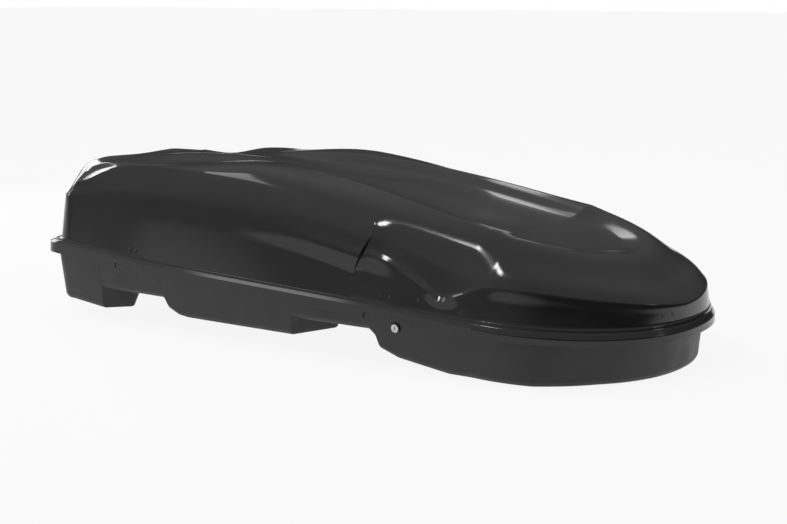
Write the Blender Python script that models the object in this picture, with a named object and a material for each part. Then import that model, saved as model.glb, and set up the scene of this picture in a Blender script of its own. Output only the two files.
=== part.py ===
"""Roof box: a moulded base tub with a side-opening lid, seen with its nose towards +X.

Frame: metres, +X to the nose, -Y to the side that opens, +Z up. The origin lies under the middle of
the box, at the height of the lowest point of the base.
"""
import math

import bmesh
import bpy
import numpy as np
from mathutils import Matrix, Vector
from mathutils.bvhtree import BVHTree

# Overall size of the box, rim included
LENGTH = 1.92
WIDTH = 0.842
RIM_HEIGHT = 0.176
RIM_FALL = 0.039

# Plan outline of the rim
NOSE_LENGTH = 0.44
NOSE_POWER = 2.18
REAR_WIDTH = 0.754
REAR_BOW = 0.02
CORNER_DEPTH = 0.09
CORNER_RADIUS = 0.07

# Lid shell
LID_WALL = 0.004
FOOT_INSET = 0.015
REAR_FOOT_INSET = 0.028
BAND_DROP_SIDE = 0.013
BAND_DROP_NOSE = 0.023
LIP_BOTTOM = 0.041
GRIP_LIFT = 0.015
BLADE_PROUD = 0.007
BLADE_CUT = 2.763
CUT_WIDTH = 0.0015

# Base shell
BASE_WALL = 0.004
RIM_CLEARANCE = 0.0012
WALL_INSET = 0.027
WALL_DRAFT = 0.017
DRAFT_DEPTH = 0.13
FLOOR_INSET = 0.045
BAR_LEVEL = 0.088
POD_LEVEL = 0.040
REAR_POD_LEVEL = 0.027
POD_CHAMFER = 0.011
MID_POD_WIDTH = 0.14
REAR_POD_WIDTH = 0.062
POD_SLOPE = 0.03
POD_SKEW = 0.045

# Hinges on the far side
HINGE_STATIONS = (2.32, 2.64, 2.96)
HINGE_DROP = 0.050
HINGE_INSET = 0.0075
HINGE_WIDTH = 0.060
KNUCKLE_RADIUS = 0.0045
HINGE_PIN_RADIUS = 0.002
HINGE_PLATE = 0.0015
HINGE_LEAF_HEIGHT = 0.026
LID_OPENING = 55.0

# Lock and locking bar on the near side
LOCK_STATION = 2.855
LOCK_DROP = 0.062
LOCK_FACE_RADIUS = 0.0138
BARREL_RADIUS = 0.0105
BARREL_LENGTH = 0.034
KEY_SLOT_LENGTH = 0.010
KEY_SLOT_WIDTH = 0.0022
BAR_HEIGHT = 0.020
BAR_THICKNESS = 0.003
BAR_INSET = 0.056
BAR_DROP = 0.044
CAM_THROW = 0.0127
CAM_PIN_RADIUS = 0.003
CAM_SLOT_CLEARANCE = 0.0006
LOCK_TURN = 90.0
HOOK_STATIONS = (2.24, 2.52, 2.80)
HOOK_REACH = 0.020
HOOK_HEIGHT = 0.014
STRIKER_WIDTH = 0.012
STRIKER_THICKNESS = 0.003
GUIDE_STATIONS = (2.185, 2.60, 2.94)
GUIDE_WIDTH = 0.014
GUIDE_WALL = 0.002

# Lid stays at the nose and at the rear, set back from the ends of the box
STAY_FRONT_SETBACK = 0.122
STAY_REAR_SETBACK = 0.092
STAY_PIVOT = (0.205, 0.022)
STAY_REST = (0.530, 0.062)
STAY_RATIO = 1.70
STAY_ARM_WIDTH = 0.018
STAY_ARM_THICKNESS = 0.003
STAY_STUD_RADIUS = 0.004
STAY_PIN_RADIUS = 0.004
STAY_PIN_LENGTH = 0.020
RAIL_BORDER = 0.007
RAIL_THICKNESS = 0.002

# Floor rails and rivets
FLOOR_RAIL_WIDTH = 0.030
FLOOR_RAIL_HEIGHT = 0.012
FLOOR_RAIL_WALL = 0.002
FLOOR_RAIL_Y = 0.15
FLOOR_RAIL_REAR_SETBACK = 0.34
FLOOR_RAIL_NOSE_SETBACK = 0.80
RIVET_RADIUS = 0.0052
RIVET_HEIGHT = 0.0022
RIVET_GAP = 0.0008

# Fits
GAP = 0.0003
WALL_GAP = 0.0011
RUNNING_GAP = 0.0005

# Stations along half the rim: 0 rear middle, 1 and 2 ends of the rear corner, 3 start of the nose, 4 nose tip
CORNER_X = -LENGTH / 2 + CORNER_DEPTH
NOSE_X = LENGTH / 2 - NOSE_LENGTH
FRONT_GRIP = (2.80, 2.963)
REAR_GRIP = (2.172, 2.252)
EDGE = 0.0012


def clear_scene():
    for obj in list(bpy.data.objects):
        bpy.data.objects.remove(obj, do_unlink=True)


def through(knots, s):
    """Smooth curve through (station, value) knots, in cubic pieces whose slopes never overshoot."""
    x, y = np.array(knots, float).T
    rise = np.diff(y) / np.diff(x)
    slope = np.r_[rise[0], np.zeros(len(x) - 2), rise[-1]]
    for i in range(1, len(x) - 1):
        if rise[i - 1] * rise[i] > 0:
            after, before = x[i + 1] - x[i], x[i] - x[i - 1]
            share = 2 * after + before, after + 2 * before
            slope[i] = sum(share) / (share[0] / rise[i - 1] + share[1] / rise[i])
    s = np.clip(s, x[0], x[-1])
    i = np.clip(np.searchsorted(x, s, side="right") - 1, 0, len(x) - 2)
    width = x[i + 1] - x[i]
    t = (s - x[i]) / width
    return ((2 * t**3 - 3 * t**2 + 1) * y[i] + (t**3 - 2 * t**2 + t) * width * slope[i]
            + (3 * t**2 - 2 * t**3) * y[i + 1] + (t**3 - t**2) * width * slope[i + 1])


def value(size, s):
    """A size along the rim: one number all the way, or knots that a smooth curve goes through."""
    if isinstance(size, (list, tuple)):
        return through(size, s)
    return np.full(np.shape(s), float(size))


def half_width(s):
    """Half width of the rim: REAR_WIDTH at the rear corner, swelling to WIDTH at the nose."""
    f = np.clip(s - 2, 0, 1)
    return REAR_WIDTH / 2 + (WIDTH - REAR_WIDTH) / 2 * (1 - (1 - f)**2)


def ring(s, inset, rear, radius, nose):
    """Plan curve of one ring round the near half of the box, x and y at stations s.

    inset: distance inside the rim at the sides; rear: x of its rear edge in the middle; radius: its
    rear corner; nose: x of its tip. The nose is a quarter of a superellipse.
    """
    s = np.asarray(s, float)
    edge = half_width(s) - value(inset, s)
    rear_half = half_width(np.array(2.0)) - value(inset, np.array(2.0))
    flat = rear_half - radius
    y_rear = -flat * np.clip(s, 0, 1)
    x_rear = rear + REAR_BOW * (y_rear / (REAR_WIDTH / 2))**2
    x_flat = rear + REAR_BOW * (flat / (REAR_WIDTH / 2))**2
    turn = np.clip(s - 1, 0, 1) * math.pi / 2
    x_side0 = rear + radius + REAR_BOW * (flat / (REAR_WIDTH / 2))**2
    x_corner = x_flat + (x_side0 - x_flat) * (1 - np.cos(turn))
    y_corner = -flat - radius * np.sin(turn)
    f = np.clip(s - 2, 0, 1)
    x_side = CORNER_X + (NOSE_X - CORNER_X) * f + (x_side0 - CORNER_X) * (1 - f)**2
    quarter = np.clip(s - 3, 0, 1) * math.pi / 2
    x_nose = NOSE_X + (nose - NOSE_X) * np.sin(quarter)**(2 / NOSE_POWER)
    y_nose = -edge * np.clip(np.cos(quarter), 0, 1)**(2 / NOSE_POWER)
    x = np.select([s <= 1, s <= 2, s <= 3], [x_rear, x_corner, x_side], x_nose)
    y = np.select([s <= 1, s <= 2, s <= 3], [y_rear, y_corner, -edge], y_nose)
    return x, y


def rim_level(x):
    """Height of the rim plane, which falls towards the nose."""
    return RIM_HEIGHT - RIM_FALL * x


def lifted(plan, height):
    x, y = plan
    return np.stack([x, y, rim_level(x) + height], axis=-1)


def grip_mask(s):
    """1 inside the two hand notches of the near side, else 0."""
    inside = np.zeros(np.shape(s))
    for start, end in (FRONT_GRIP, REAR_GRIP):
        inside[(s > start) & (s < end)] = 1
    return inside


# Rim of the lid: lip bottom, lip top, bead at the foot
def lid_rim(s, notched):
    rear, nose = -LENGTH / 2, LENGTH / 2
    drop = through([(0, BAND_DROP_SIDE), (2.8, BAND_DROP_SIDE), (3.2, BAND_DROP_NOSE),
                    (4, BAND_DROP_NOSE)], s)
    lift = GRIP_LIFT * grip_mask(s) if notched else 0
    foot = [(0, REAR_FOOT_INSET), (2, REAR_FOOT_INSET), (2.2, FOOT_INSET), (4, FOOT_INSET)]
    lip = lifted(ring(s, 0.0, rear, CORNER_RADIUS, nose), -LIP_BOTTOM + lift)
    top = lifted(ring(s, 0.0012, rear + 0.0012, CORNER_RADIUS, nose - 0.0012), -drop)
    plan = ring(s, foot, rear + REAR_FOOT_INSET, CORNER_RADIUS - 0.008, nose - FOOT_INSET)
    return [lip, top, lifted(plan, 0.0)]


# Control rings of the lid body: height above the rim plane, then distance inside the rim at the sides, at
# the rear and at the nose's tip, with the rear radius, and how far forward the blade's cut leans on it
LID_RINGS = [
    # lower edge of the blade, then the middle of the skirt
    dict(height=[(0, .112), (1, .112), (1.6, .115), (2, .125), (2.115, .118), (2.23, .127),
                 (2.396, .122), (2.518, .115), (2.638, .098), (2.729, .076), (2.763, .065),
                 (2.82, .056), (2.88, .036), (2.906, .026), (2.94, .012), (2.957, .008),
                 (2.975, .012), (3, .025), (3.08, .040), (3.45, .034), (4, .020)],
         inset=[(0, .045), (2, .045), (2.25, .032), (2.77, .032), (2.957, .0175), (3.13, .026),
                (4, .020)],
         rear=.048, radius=.060, nose=.018, lean=0),
    # middle of the blade, then the lower edge of the skirt's chamfer
    dict(height=[(0, .115), (1, .115), (1.6, .119), (2, .131), (2.115, .141), (2.23, .158),
                 (2.396, .158), (2.518, .150), (2.638, .136), (2.729, .120), (2.777, .113),
                 (2.795, .1135), (2.82, .109), (2.865, .085), (2.91, .058), (2.934, .042),
                 (2.956, .027), (2.966, .030), (2.976, .040), (2.993, .051), (3.012, .062),
                 (3.032, .069), (3.105, .081), (3.21, .080), (3.371, .074), (3.613, .059),
                 (4, .033)],
         inset=[(0, .047), (2, .047), (2.266, .038), (2.777, .0385), (2.82, .036), (2.865, .033),
                (2.91, .027), (2.934, .021), (2.956, .018), (2.976, .0195), (2.993, .024),
                (3.032, .028), (3.105, .031), (3.452, .031), (4, .025)],
         rear=.049, radius=.060, nose=.021, lean=.0142),
    # upper part of the blade, then the upper edge of the chamfer
    dict(height=[(0, .119), (1, .119), (1.6, .123), (2, .137), (2.115, .158), (2.23, .179),
                 (2.396, .181), (2.518, .173), (2.638, .154), (2.729, .134), (2.78, .1245),
                 (2.795, .1255), (2.816, .121), (2.859, .103), (2.902, .076), (2.926, .060),
                 (2.944, .045), (2.952, .039), (2.96, .0385), (2.972, .047), (2.993, .055),
                 (3.012, .066), (3.032, .0725), (3.105, .084), (3.21, .083), (3.371, .077),
                 (3.613, .062), (4, .036)],
         inset=[(0, .050), (2, .050), (2.266, .044), (2.78, .0435), (2.816, .047), (2.859, .046),
                (2.902, .043), (2.926, .038), (2.952, .030), (2.972, .028), (3.032, .0305),
                (3.105, .033), (3.452, .033), (4, .027)],
         rear=.052, radius=.060, nose=.024, lean=.0172),
    # top of the blade's cut, then the upper edge of the facet and the foot of the dome
    dict(height=[(0, .123), (1, .123), (1.6, .127), (2, .143), (2.115, .180), (2.23, .207),
                 (2.396, .214), (2.518, .208), (2.638, .197), (2.729, .181), (2.793, .167),
                 (2.827, .147), (2.892, .127), (2.942, .106), (2.986, .096), (3.065, .092),
                 (3.105, .092), (3.21, .093), (3.452, .084), (4, .047)],
         inset=[(0, .053), (2, .053), (2.266, .058), (2.793, .058), (2.878, .060), (2.957, .050),
                (3.105, .038), (3.452, .040), (4, .038)],
         rear=.055, radius=.060, nose=.038, lean=.0300),
    # crest of the shoulder
    dict(height=[(0, .128), (1, .128), (1.5, .130), (1.8, .146), (2, .161), (2.06, .203),
                 (2.108, .228), (2.151, .241), (2.23, .250), (2.396, .256), (2.518, .250),
                 (2.638, .236), (2.763, .215), (2.914, .180), (3.105, .150), (3.452, .118),
                 (4, .079)],
         inset=[(0, .057), (2, .058), (2.122, .076), (2.266, .080), (2.554, .084), (2.763, .100),
                (2.986, .100), (3.452, .095), (4, .080)],
         rear=.061, radius=.070, nose=.088, lean=.0200),
    # ridge beside the trough
    dict(height=[(0, .221), (1, .217), (1.6, .211), (2, .211), (2.108, .223), (2.2, .239),
                 (2.28, .259), (2.338, .271), (2.42, .281), (2.5, .283), (2.58, .277),
                 (2.66, .267), (2.73, .256), (2.8, .242), (2.863, .226), (2.993, .196),
                 (3.1, .184), (3.21, .175), (3.532, .154), (4, .136)],
         inset=[(0, .135), (2, .135), (2.108, .165), (2.2, .205), (2.28, .242), (2.35, .262),
                (2.42, .264), (2.5, .246), (2.58, .229), (2.66, .212), (2.73, .195), (2.8, .177),
                (2.863, .162), (2.993, .148), (3.21, .150), (4, .160)],
         rear=.080, radius=.060, nose=.165, lean=0),
    # edge of the trough floor
    dict(height=[(0, .228), (1, .227), (2, .226), (2.108, .233), (2.2, .246), (2.28, .257),
                 (2.338, .259), (2.446, .257), (2.54, .253), (2.658, .245), (2.727, .236),
                 (2.799, .221), (2.863, .205), (2.993, .173), (3.21, .158), (3.532, .145),
                 (4, .138)],
         inset=[(0, .24), (2, .25), (2.2, .29), (2.338, .315), (2.45, .31), (2.54, .295),
                (2.658, .28), (2.799, .262), (2.863, .255), (2.993, .245), (3.452, .25), (4, .26)],
         rear=.135, radius=.080, nose=.235, lean=0),
]
# Reach of the lean to either side of the cut, in stations
LEAN_REACH = 0.14
SPINE_HEIGHT = [(-.78, .236), (-.68, .248), (-.60, .255), (-.50, .260), (-.40, .259), (-.25, .255),
                (-.12, .251), (.045, .243), (.14, .233), (.24, .218), (.33, .202), (.51, .170),
                (.60, .154), (.70, .141)]
SPINE_REAR = -LENGTH / 2 + 0.19
SPINE_FRONT = LENGTH / 2 - 0.26

# Sharpness of the fold along each ring, 0 smooth to 1 sharp
LID_FOLDS = [
    [(0, .6), (2, .8), (2.76, .8), (2.79, 0), (4, 0)],
    [(0, .3), (2.7, 0), (2.765, 0), (2.78, .9), (4, .8)],
    [(0, .3), (2.7, 0), (2.765, 0), (2.78, .9), (3.1, .9), (4, .7)],
    [(0, .3), (2.76, 0), (2.8, .2), (2.86, .7), (3.08, .7), (3.12, 0), (4, 0)],
    [(0, .5), (2, .9), (2.30, .8), (2.50, 0), (4, 0)],
    [(0, .2), (2.1, .2), (2.42, .6), (3.0, .6), (3.3, .3), (4, .3)],
    [(0, 0), (2.28, .2), (2.42, .6), (3.3, .6), (4, .6)],
]


def leaning(s, lean):
    """Stations of a ring's ribs, moved forward round the cut of the blade."""
    away = np.clip(np.abs(s - BLADE_CUT) / LEAN_REACH, 0, 1)
    return s + lean * (1 - away**2)**2


def spine(s, guide_x):
    """Centre line of the lid; side stations take the x of the ring beside it."""
    start = guide_x[np.argmin(np.abs(s - 2))]
    x_rear = SPINE_REAR + (start - SPINE_REAR) * np.clip(s / 2, 0, 1)
    x_nose = NOSE_X + (SPINE_FRONT - NOSE_X) * np.sin(np.clip(s - 3, 0, 1) * math.pi / 2)
    x = np.select([s < 2, s <= 3], [x_rear, guide_x], x_nose)
    return np.stack([x, 0 * x, rim_level(x) + through(SPINE_HEIGHT, x)], axis=-1)


def lid_controls(s, notched):
    """Control points of the lid's ribs, foot to spine, as an array ring by station by 3."""
    rings = lid_rim(s, notched)
    for item in LID_RINGS:
        at = leaning(s, item["lean"])
        plan = ring(at, item["inset"], -LENGTH / 2 + item["rear"], item["radius"], LENGTH / 2 - item["nose"])
        rings.append(lifted(plan, value(item["height"], at)))
    rings.append(spine(s, rings[-1][:, 0]))
    return np.stack(rings)


def rib_tangents(points, s):
    """Tangents before and after each control point; a fold keeps the two apart."""
    chord = np.diff(points, axis=0)
    length = np.linalg.norm(chord, axis=2, keepdims=True)
    unit = chord / length
    before = np.concatenate([unit[:1], unit])
    after = np.concatenate([unit, unit[-1:]])
    far = np.concatenate([length[:1], length])
    near = np.concatenate([length, length[-1:]])
    mean = (before * near + after * far) / (near + far)
    mean /= np.linalg.norm(mean, axis=2, keepdims=True)
    fold = np.ones((len(points), len(s), 1))
    for k, knots in enumerate(LID_FOLDS):
        fold[3 + k, :, 0] = through(knots, s)
    mean[-1] = (0, 1, 0)
    fold[-1] = 0
    return mean + (before - mean) * fold, mean + (after - mean) * fold, length


def lid_surface(s, steps, notched, bladed=True):
    """Outer skin of the near half: cubic ribs from the lip to the spine, steps points a span."""
    points = lid_controls(s, notched)
    into, out, length = rib_tangents(points, s)
    rows = [points[0]]
    for k, count in enumerate(steps):
        for i in range(1, count + 1):
            t = i / count
            rows.append((2 * t**3 - 3 * t**2 + 1) * points[k]
                        + (t**3 - 2 * t**2 + t) * length[k] * out[k]
                        + (3 * t**2 - 2 * t**3) * points[k + 1]
                        + (t**3 - t**2) * length[k] * into[k + 1])
    rows = np.stack(rows)
    rows[:, (s == 0) | (s == 4), 1] = 0
    return blade(rows, s, steps) if bladed else rows


def blade(rows, s, steps):
    """Push the blade out of the skin towards its cut edge, where it ends in a thin face."""
    first = sum(steps[:3])
    top = first + sum(steps[3:6])
    swell = through([(2.45, 0), (2.62, .35), (BLADE_CUT, 1)], s) * (s <= BLADE_CUT)
    for i in range(first, min(top + 1, len(rows))):
        f = (i - first) / (top - first)
        rows[i, :, 1] -= BLADE_PROUD * swell * math.sin(math.pi * min(f * 1.05, 1.0))**0.6
    return rows


LID_STEPS = (1, 1, 1, 1, 1, 1, 2, 3, 1, 2)


def stations(parts, extra):
    """Stations from the rear middle to the nose tip, with extra ones at steps in the form."""
    s = [np.linspace(a, b, n, endpoint=False) for a, b, n in parts] + [np.array([4.0])]
    return np.unique(np.round(np.concatenate(s + [np.array(extra)]), 5))


# Base tub
def foot_inset(s):
    return through([(0, REAR_FOOT_INSET), (2, REAR_FOOT_INSET), (2.2, FOOT_INSET), (4, FOOT_INSET)], s)


def inset_ring(s, inset):
    """Plan curve a given distance inside the rim, all the way round."""
    inset = np.broadcast_to(inset, np.shape(s))
    edge = half_width(s) - inset
    radius = np.maximum(CORNER_RADIUS - 0.3 * inset, 0.02)
    flat = half_width(np.array(2.0)) - inset - radius
    rear = -LENGTH / 2 + inset
    y_rear = -flat * np.clip(s, 0, 1)
    x_rear = rear + REAR_BOW * (y_rear / (REAR_WIDTH / 2))**2
    x_flat = rear + REAR_BOW * (flat / (REAR_WIDTH / 2))**2
    turn = np.clip(s - 1, 0, 1) * math.pi / 2
    x_corner = x_flat + radius * (1 - np.cos(turn))
    y_corner = -flat - radius * np.sin(turn)
    f = np.clip(s - 2, 0, 1)
    x_side = CORNER_X + (NOSE_X - CORNER_X) * f + (x_flat + radius - CORNER_X) * (1 - f)**12
    quarter = np.clip(s - 3, 0, 1) * math.pi / 2
    x_nose = NOSE_X + (NOSE_LENGTH - inset) * np.sin(quarter)**(2 / NOSE_POWER)
    y_nose = -edge * np.clip(np.cos(quarter), 0, 1)**(2 / NOSE_POWER)
    x = np.select([s <= 1, s <= 2, s <= 3], [x_rear, x_corner, x_side], x_nose)
    y = np.select([s <= 1, s <= 2, s <= 3], [y_rear, y_corner, -edge], y_nose)
    return x, y


REAR_CHANNEL = (2.101, 2.2806)
FRONT_CHANNEL = (2.6115, 2.7914)
STEP = 0.002
BASE_BOTTOM = [(0, BAR_LEVEL), (.78, BAR_LEVEL), (.92, POD_LEVEL), (2, POD_LEVEL),
               (REAR_CHANNEL[0], REAR_POD_LEVEL), (REAR_CHANNEL[0] + STEP, BAR_LEVEL),
               (REAR_CHANNEL[1], BAR_LEVEL), (2.2914, .060), (2.3165, .044), (2.34, POD_LEVEL),
               (FRONT_CHANNEL[0], POD_LEVEL), (FRONT_CHANNEL[0] + STEP, BAR_LEVEL),
               (FRONT_CHANNEL[1], BAR_LEVEL), (2.7986, .080), (2.8065, .070), (2.813, .042),
               (2.8525, .022), (2.9396, .004), (2.9604, 0), (4, 0)]
BASE_MIDDLE = [(0, BAR_LEVEL), (FRONT_CHANNEL[1], BAR_LEVEL), (2.7986, .080), (2.8065, .070),
               (2.813, .042), (2.8525, .022), (2.9396, .004), (2.9604, 0), (4, 0)]
# How far the foot of the wall stands out where the tub's flat side turns into its nose
NOSE_CORNER = [(0, 0), (3.0, 0), (3.08, .010), (3.27, .030), (3.41, .017), (3.53, 0), (4, 0)]
POD_WIDTHS = [(0, REAR_POD_WIDTH), (2.15, REAR_POD_WIDTH), (2.28, MID_POD_WIDTH), (3, MID_POD_WIDTH),
              (4, MID_POD_WIDTH)]


def linear(knots, s):
    x, y = np.array(knots, float).T
    return np.interp(s, x, y)


def wall_inset(s, height):
    """Distance inside the rim of the tub's outer wall, which tapers inward as it goes down."""
    return foot_inset(s) + (WALL_INSET - FOOT_INSET) - WALL_DRAFT / DRAFT_DEPTH * height


def base_rows(s):
    """Outer skin of the near half of the tub: flange, wall, pod, then the raised middle floor."""
    drop = through([(0, BAND_DROP_SIDE), (2.8, BAND_DROP_SIDE), (3.2, BAND_DROP_NOSE),
                    (4, BAND_DROP_NOSE)], s)
    across = foot_inset(s) - 0.0012
    slant = np.hypot(across, drop)
    shift = LID_WALL + RIM_CLEARANCE + BASE_WALL
    d_in, d_down = shift * drop / slant, shift * across / slant
    tip_in = 0.0012 + LID_WALL + RIM_CLEARANCE + BASE_WALL * drop / slant
    tip_down = drop + d_down - (tip_in - 0.0012 - d_in) * drop / across
    tip = lifted(inset_ring(s, tip_in), -tip_down)
    fold = lifted(inset_ring(s, foot_inset(s) + d_in), -d_down)
    top = lifted(inset_ring(s, wall_inset(s, -d_down)), -d_down)
    bottom = linear(BASE_BOTTOM, s)
    middle = linear(BASE_MIDDLE, s)
    pod = linear(POD_WIDTHS, s)
    x, _ = inset_ring(s, WALL_INSET)
    depth = bottom + POD_CHAMFER - rim_level(x)
    x_wall = inset_ring(s, FLOOR_INSET - 0.6 * POD_CHAMFER)[0]
    foot = wall_inset(s, depth) - linear(NOSE_CORNER, s)
    wall = inset_ring(s, foot)[1]
    inner = foot + 0.6 * POD_CHAMFER
    skew = POD_SKEW * linear([(0, 0), (2.0, 0), (2.1, 1), (2.82, 1), (3.0, 0), (4, 0)], s)
    rows = [tip, fold, top, np.stack([x_wall, wall, bottom + POD_CHAMFER], -1)]
    for width, level, shift in ((0, bottom, 0), (pod, bottom, skew), (pod + POD_SLOPE, middle, skew)):
        x_row = inset_ring(s, FLOOR_INSET + width)[0] + shift
        rows.append(np.stack([x_row, inset_ring(s, inner + width)[1], level], -1))
    x_rise = rows[-1][:, 0]
    x_first, x_last = x_rise[0], x_rise[np.argmin(np.abs(s - 2))]
    x_mid = np.select([s < 2, s <= 3],
                      [x_first + (x_last - x_first) * (0.3 + 0.35 * s), x_rise],
                      NOSE_X + 0.20 * np.sin(np.clip(s - 3, 0, 1) * math.pi / 2))
    rows.append(np.stack([x_mid, 0 * x_mid, middle], -1))
    return np.stack(rows)


# Frames along the far hinge line and the near locking bar
def line_frame(first, last, inset, drop, side):
    """Frame whose X runs along the straight line between two stations of an inset ring."""
    ends = []
    for s in (first, last):
        x, y = inset_ring(np.array(s), inset)
        ends.append(Vector((float(x), side * -float(y), float(rim_level(x)) - drop)))
    along = (ends[1] - ends[0]).normalized()
    across = Vector((0, 0, 1)).cross(along).normalized()
    up = along.cross(across)
    middle = (ends[0] + ends[1]) / 2
    frame = Matrix((along, across, up)).transposed().to_4x4()
    frame.translation = middle
    return frame


def along_frame(frame, s, inset, side):
    """X in a frame of the place beside a station of the rim."""
    x, y = inset_ring(np.array(s), inset)
    point = Vector((float(x), side * -float(y), frame.translation.z))
    return (point - frame.translation).dot(frame.col[0].to_3d())


# Scene helpers
def new_collection(name):
    collection = bpy.data.collections.get(name) or bpy.data.collections.new(name)
    if name not in bpy.context.scene.collection.children:
        bpy.context.scene.collection.children.link(collection)
    return collection


def material(name, colour, roughness, metallic):
    mat = bpy.data.materials.new(name)
    mat.use_nodes = True
    shader = mat.node_tree.nodes["Principled BSDF"]
    shader.inputs["Base Color"].default_value = (*colour, 1)
    shader.inputs["Roughness"].default_value = roughness
    shader.inputs["Metallic"].default_value = metallic
    return mat


def add_object(name, mesh, collection, mat=None, frame=None):
    obj = bpy.data.objects.new(name, mesh)
    collection.objects.link(obj)
    if frame is not None:
        obj.matrix_world = frame
    if mat is not None:
        mesh.materials.append(mat)
    return obj


def box_mesh(name, low, high):
    bm = bmesh.new()
    bmesh.ops.create_cube(bm, size=1.0)
    low, high = Vector(low), Vector(high)
    for vert in bm.verts:
        vert.co = (low + high) / 2 + Vector([c * (b - a) for c, a, b in zip(vert.co, low, high)])
    mesh = bpy.data.meshes.new(name)
    bm.to_mesh(mesh)
    bm.free()
    return mesh


TURN_TO = {"X": Matrix.Rotation(math.pi / 2, 4, "Y"), "Y": Matrix.Rotation(-math.pi / 2, 4, "X"),
           "Z": Matrix.Identity(4)}


def rod_mesh(name, radius, start, length, axis, centre=(0, 0), sides=16):
    """Cylinder along one axis from start; centre gives its place in the two other axes."""
    bm = bmesh.new()
    bmesh.ops.create_cone(bm, cap_ends=True, segments=sides, radius1=radius, radius2=radius,
                          depth=abs(length), matrix=TURN_TO[axis])
    middle = start + length / 2
    place = {"X": (middle, centre[0], centre[1]), "Y": (centre[0], middle, centre[1]),
             "Z": (centre[0], centre[1], middle)}[axis]
    bmesh.ops.translate(bm, verts=bm.verts, vec=Vector(place))
    mesh = bpy.data.meshes.new(name)
    bm.to_mesh(mesh)
    bm.free()
    return mesh


def tool(mesh, frame):
    """Hidden object that cuts or joins another."""
    obj = add_object(mesh.name + "_tool", mesh, new_collection("cutters"), frame=frame)
    obj.hide_render = True
    obj.display_type = "WIRE"
    return obj


def boolean(obj, mesh, frame, operation):
    mod = obj.modifiers.new(operation.lower(), "BOOLEAN")
    mod.operation = operation
    mod.solver = "EXACT"
    mod.object = tool(mesh, frame)


def sheet_mesh(name, outer, inner):
    """Closed plate between two matching grids of points, outer and inner."""
    rows, cols = outer.shape[:2]
    count = rows * cols
    verts = np.concatenate([outer.reshape(-1, 3), inner.reshape(-1, 3)])
    index = np.arange(count).reshape(rows, cols)
    a, b, c, d = index[:-1, :-1], index[:-1, 1:], index[1:, 1:], index[1:, :-1]
    front = np.stack([a, b, c, d], -1).reshape(-1, 4)
    back = np.stack([a, d, c, b], -1).reshape(-1, 4) + count
    loop = np.concatenate([index[0, :-1], index[:-1, -1], index[-1, :0:-1], index[:0:-1, 0]])
    after = np.roll(loop, -1)
    rim = np.stack([loop, loop + count, after + count, after], -1)
    mesh = bpy.data.meshes.new(name)
    mesh.from_pydata(verts.tolist(), [], np.concatenate([front, back, rim]).tolist())
    bm = bmesh.new()
    bm.from_mesh(mesh)
    bmesh.ops.recalc_face_normals(bm, faces=bm.faces)
    bm.to_mesh(mesh)
    bm.free()
    return mesh


def lid_inset(s, height):
    """Distance inside the rim of the lid's skirt at a height above the rim plane."""
    first = LID_RINGS[0]
    share = height / value(first["height"], s)
    return foot_inset(s) + (value(first["inset"], s) - foot_inset(s)) * share


def patch_mesh(name, wall, s_range, heights, gap, thickness, side=1, columns=4):
    """Plate that follows a wall: wall gives the inset at a station and height, gap is signed inward."""
    s = np.linspace(*s_range, columns)
    grids = []
    for depth in (gap, gap + thickness):
        rows = []
        for height in heights:
            points = lifted(inset_ring(s, wall(s, height) + depth), height)
            points[:, 1] *= -side
            rows.append(points)
        grids.append(np.stack(rows))
    return sheet_mesh(name, grids[0], grids[1])


# Shells: both halves as outer and inner skins, closed along the open edge
def face_normals(grid):
    across = grid[1:, 1:] - grid[:-1, :-1]
    down = grid[:-1, 1:] - grid[1:, :-1]
    normal = np.cross(down, across)
    return normal / np.maximum(np.linalg.norm(normal, axis=-1, keepdims=True), 1e-12)


def inner_skin(grid, wall, sign):
    """Grid moved inward so that every neighbouring face keeps the wall thickness."""
    rows, cols = grid.shape[:2]
    normal = face_normals(grid) * sign
    square = np.zeros((rows, cols, 3, 3))
    total = np.zeros((rows, cols, 3))
    for di in (0, 1):
        for dj in (0, 1):
            where = (slice(di, rows - 1 + di), slice(dj, cols - 1 + dj))
            square[where] += normal[..., :, None] * normal[..., None, :]
            total[where] += normal
    move = -wall * np.linalg.solve(square + 0.04 * np.eye(3), total[..., None])[..., 0]
    on_middle = np.abs(grid[..., 1]) < 1e-9
    move[on_middle, 1] = 0
    far = np.linalg.norm(move, axis=-1, keepdims=True)
    low = 0.8 * wall
    return grid + move * np.clip(far, low, 1.8 * wall) / np.maximum(far, 1e-9)


def shell_mesh(name, halves):
    """Closed shell from (outer, inner) grids of the near and the far half."""
    verts, faces = [], []
    for outer, inner in halves:
        rows, cols = outer.shape[:2]
        start = sum(len(v) for v in verts)
        verts += [outer.reshape(-1, 3), inner.reshape(-1, 3)]
        index = start + np.arange(rows * cols).reshape(rows, cols)
        a, b, c, d = index[:-1, :-1], index[:-1, 1:], index[1:, 1:], index[1:, :-1]
        faces.append(np.stack([a, b, c, d], -1).reshape(-1, 4))
        faces.append(np.stack([a, d, c, b], -1).reshape(-1, 4) + rows * cols)
        edge, after = index[0, :-1], index[0, 1:]
        faces.append(np.stack([edge, edge + rows * cols, after + rows * cols, after], -1))
    mesh = bpy.data.meshes.new(name)
    mesh.from_pydata(np.concatenate(verts).tolist(), [], np.concatenate(faces).tolist())
    bm = bmesh.new()
    bm.from_mesh(mesh)
    bmesh.ops.remove_doubles(bm, verts=bm.verts, dist=0.00002)
    bmesh.ops.recalc_face_normals(bm, faces=bm.faces)
    bm.to_mesh(mesh)
    bm.free()
    return mesh


def lid_stations():
    extra = [BLADE_CUT, BLADE_CUT + CUT_WIDTH]
    for edge in FRONT_GRIP + REAR_GRIP:
        extra += [edge - EDGE / 2, edge + EDGE / 2]
    return stations([(0, 1, 4), (1, 2, 5), (2, 2.2, 5), (2.2, 2.7, 9), (2.7, 3.2, 14), (3.2, 4, 9)],
                    extra)


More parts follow.
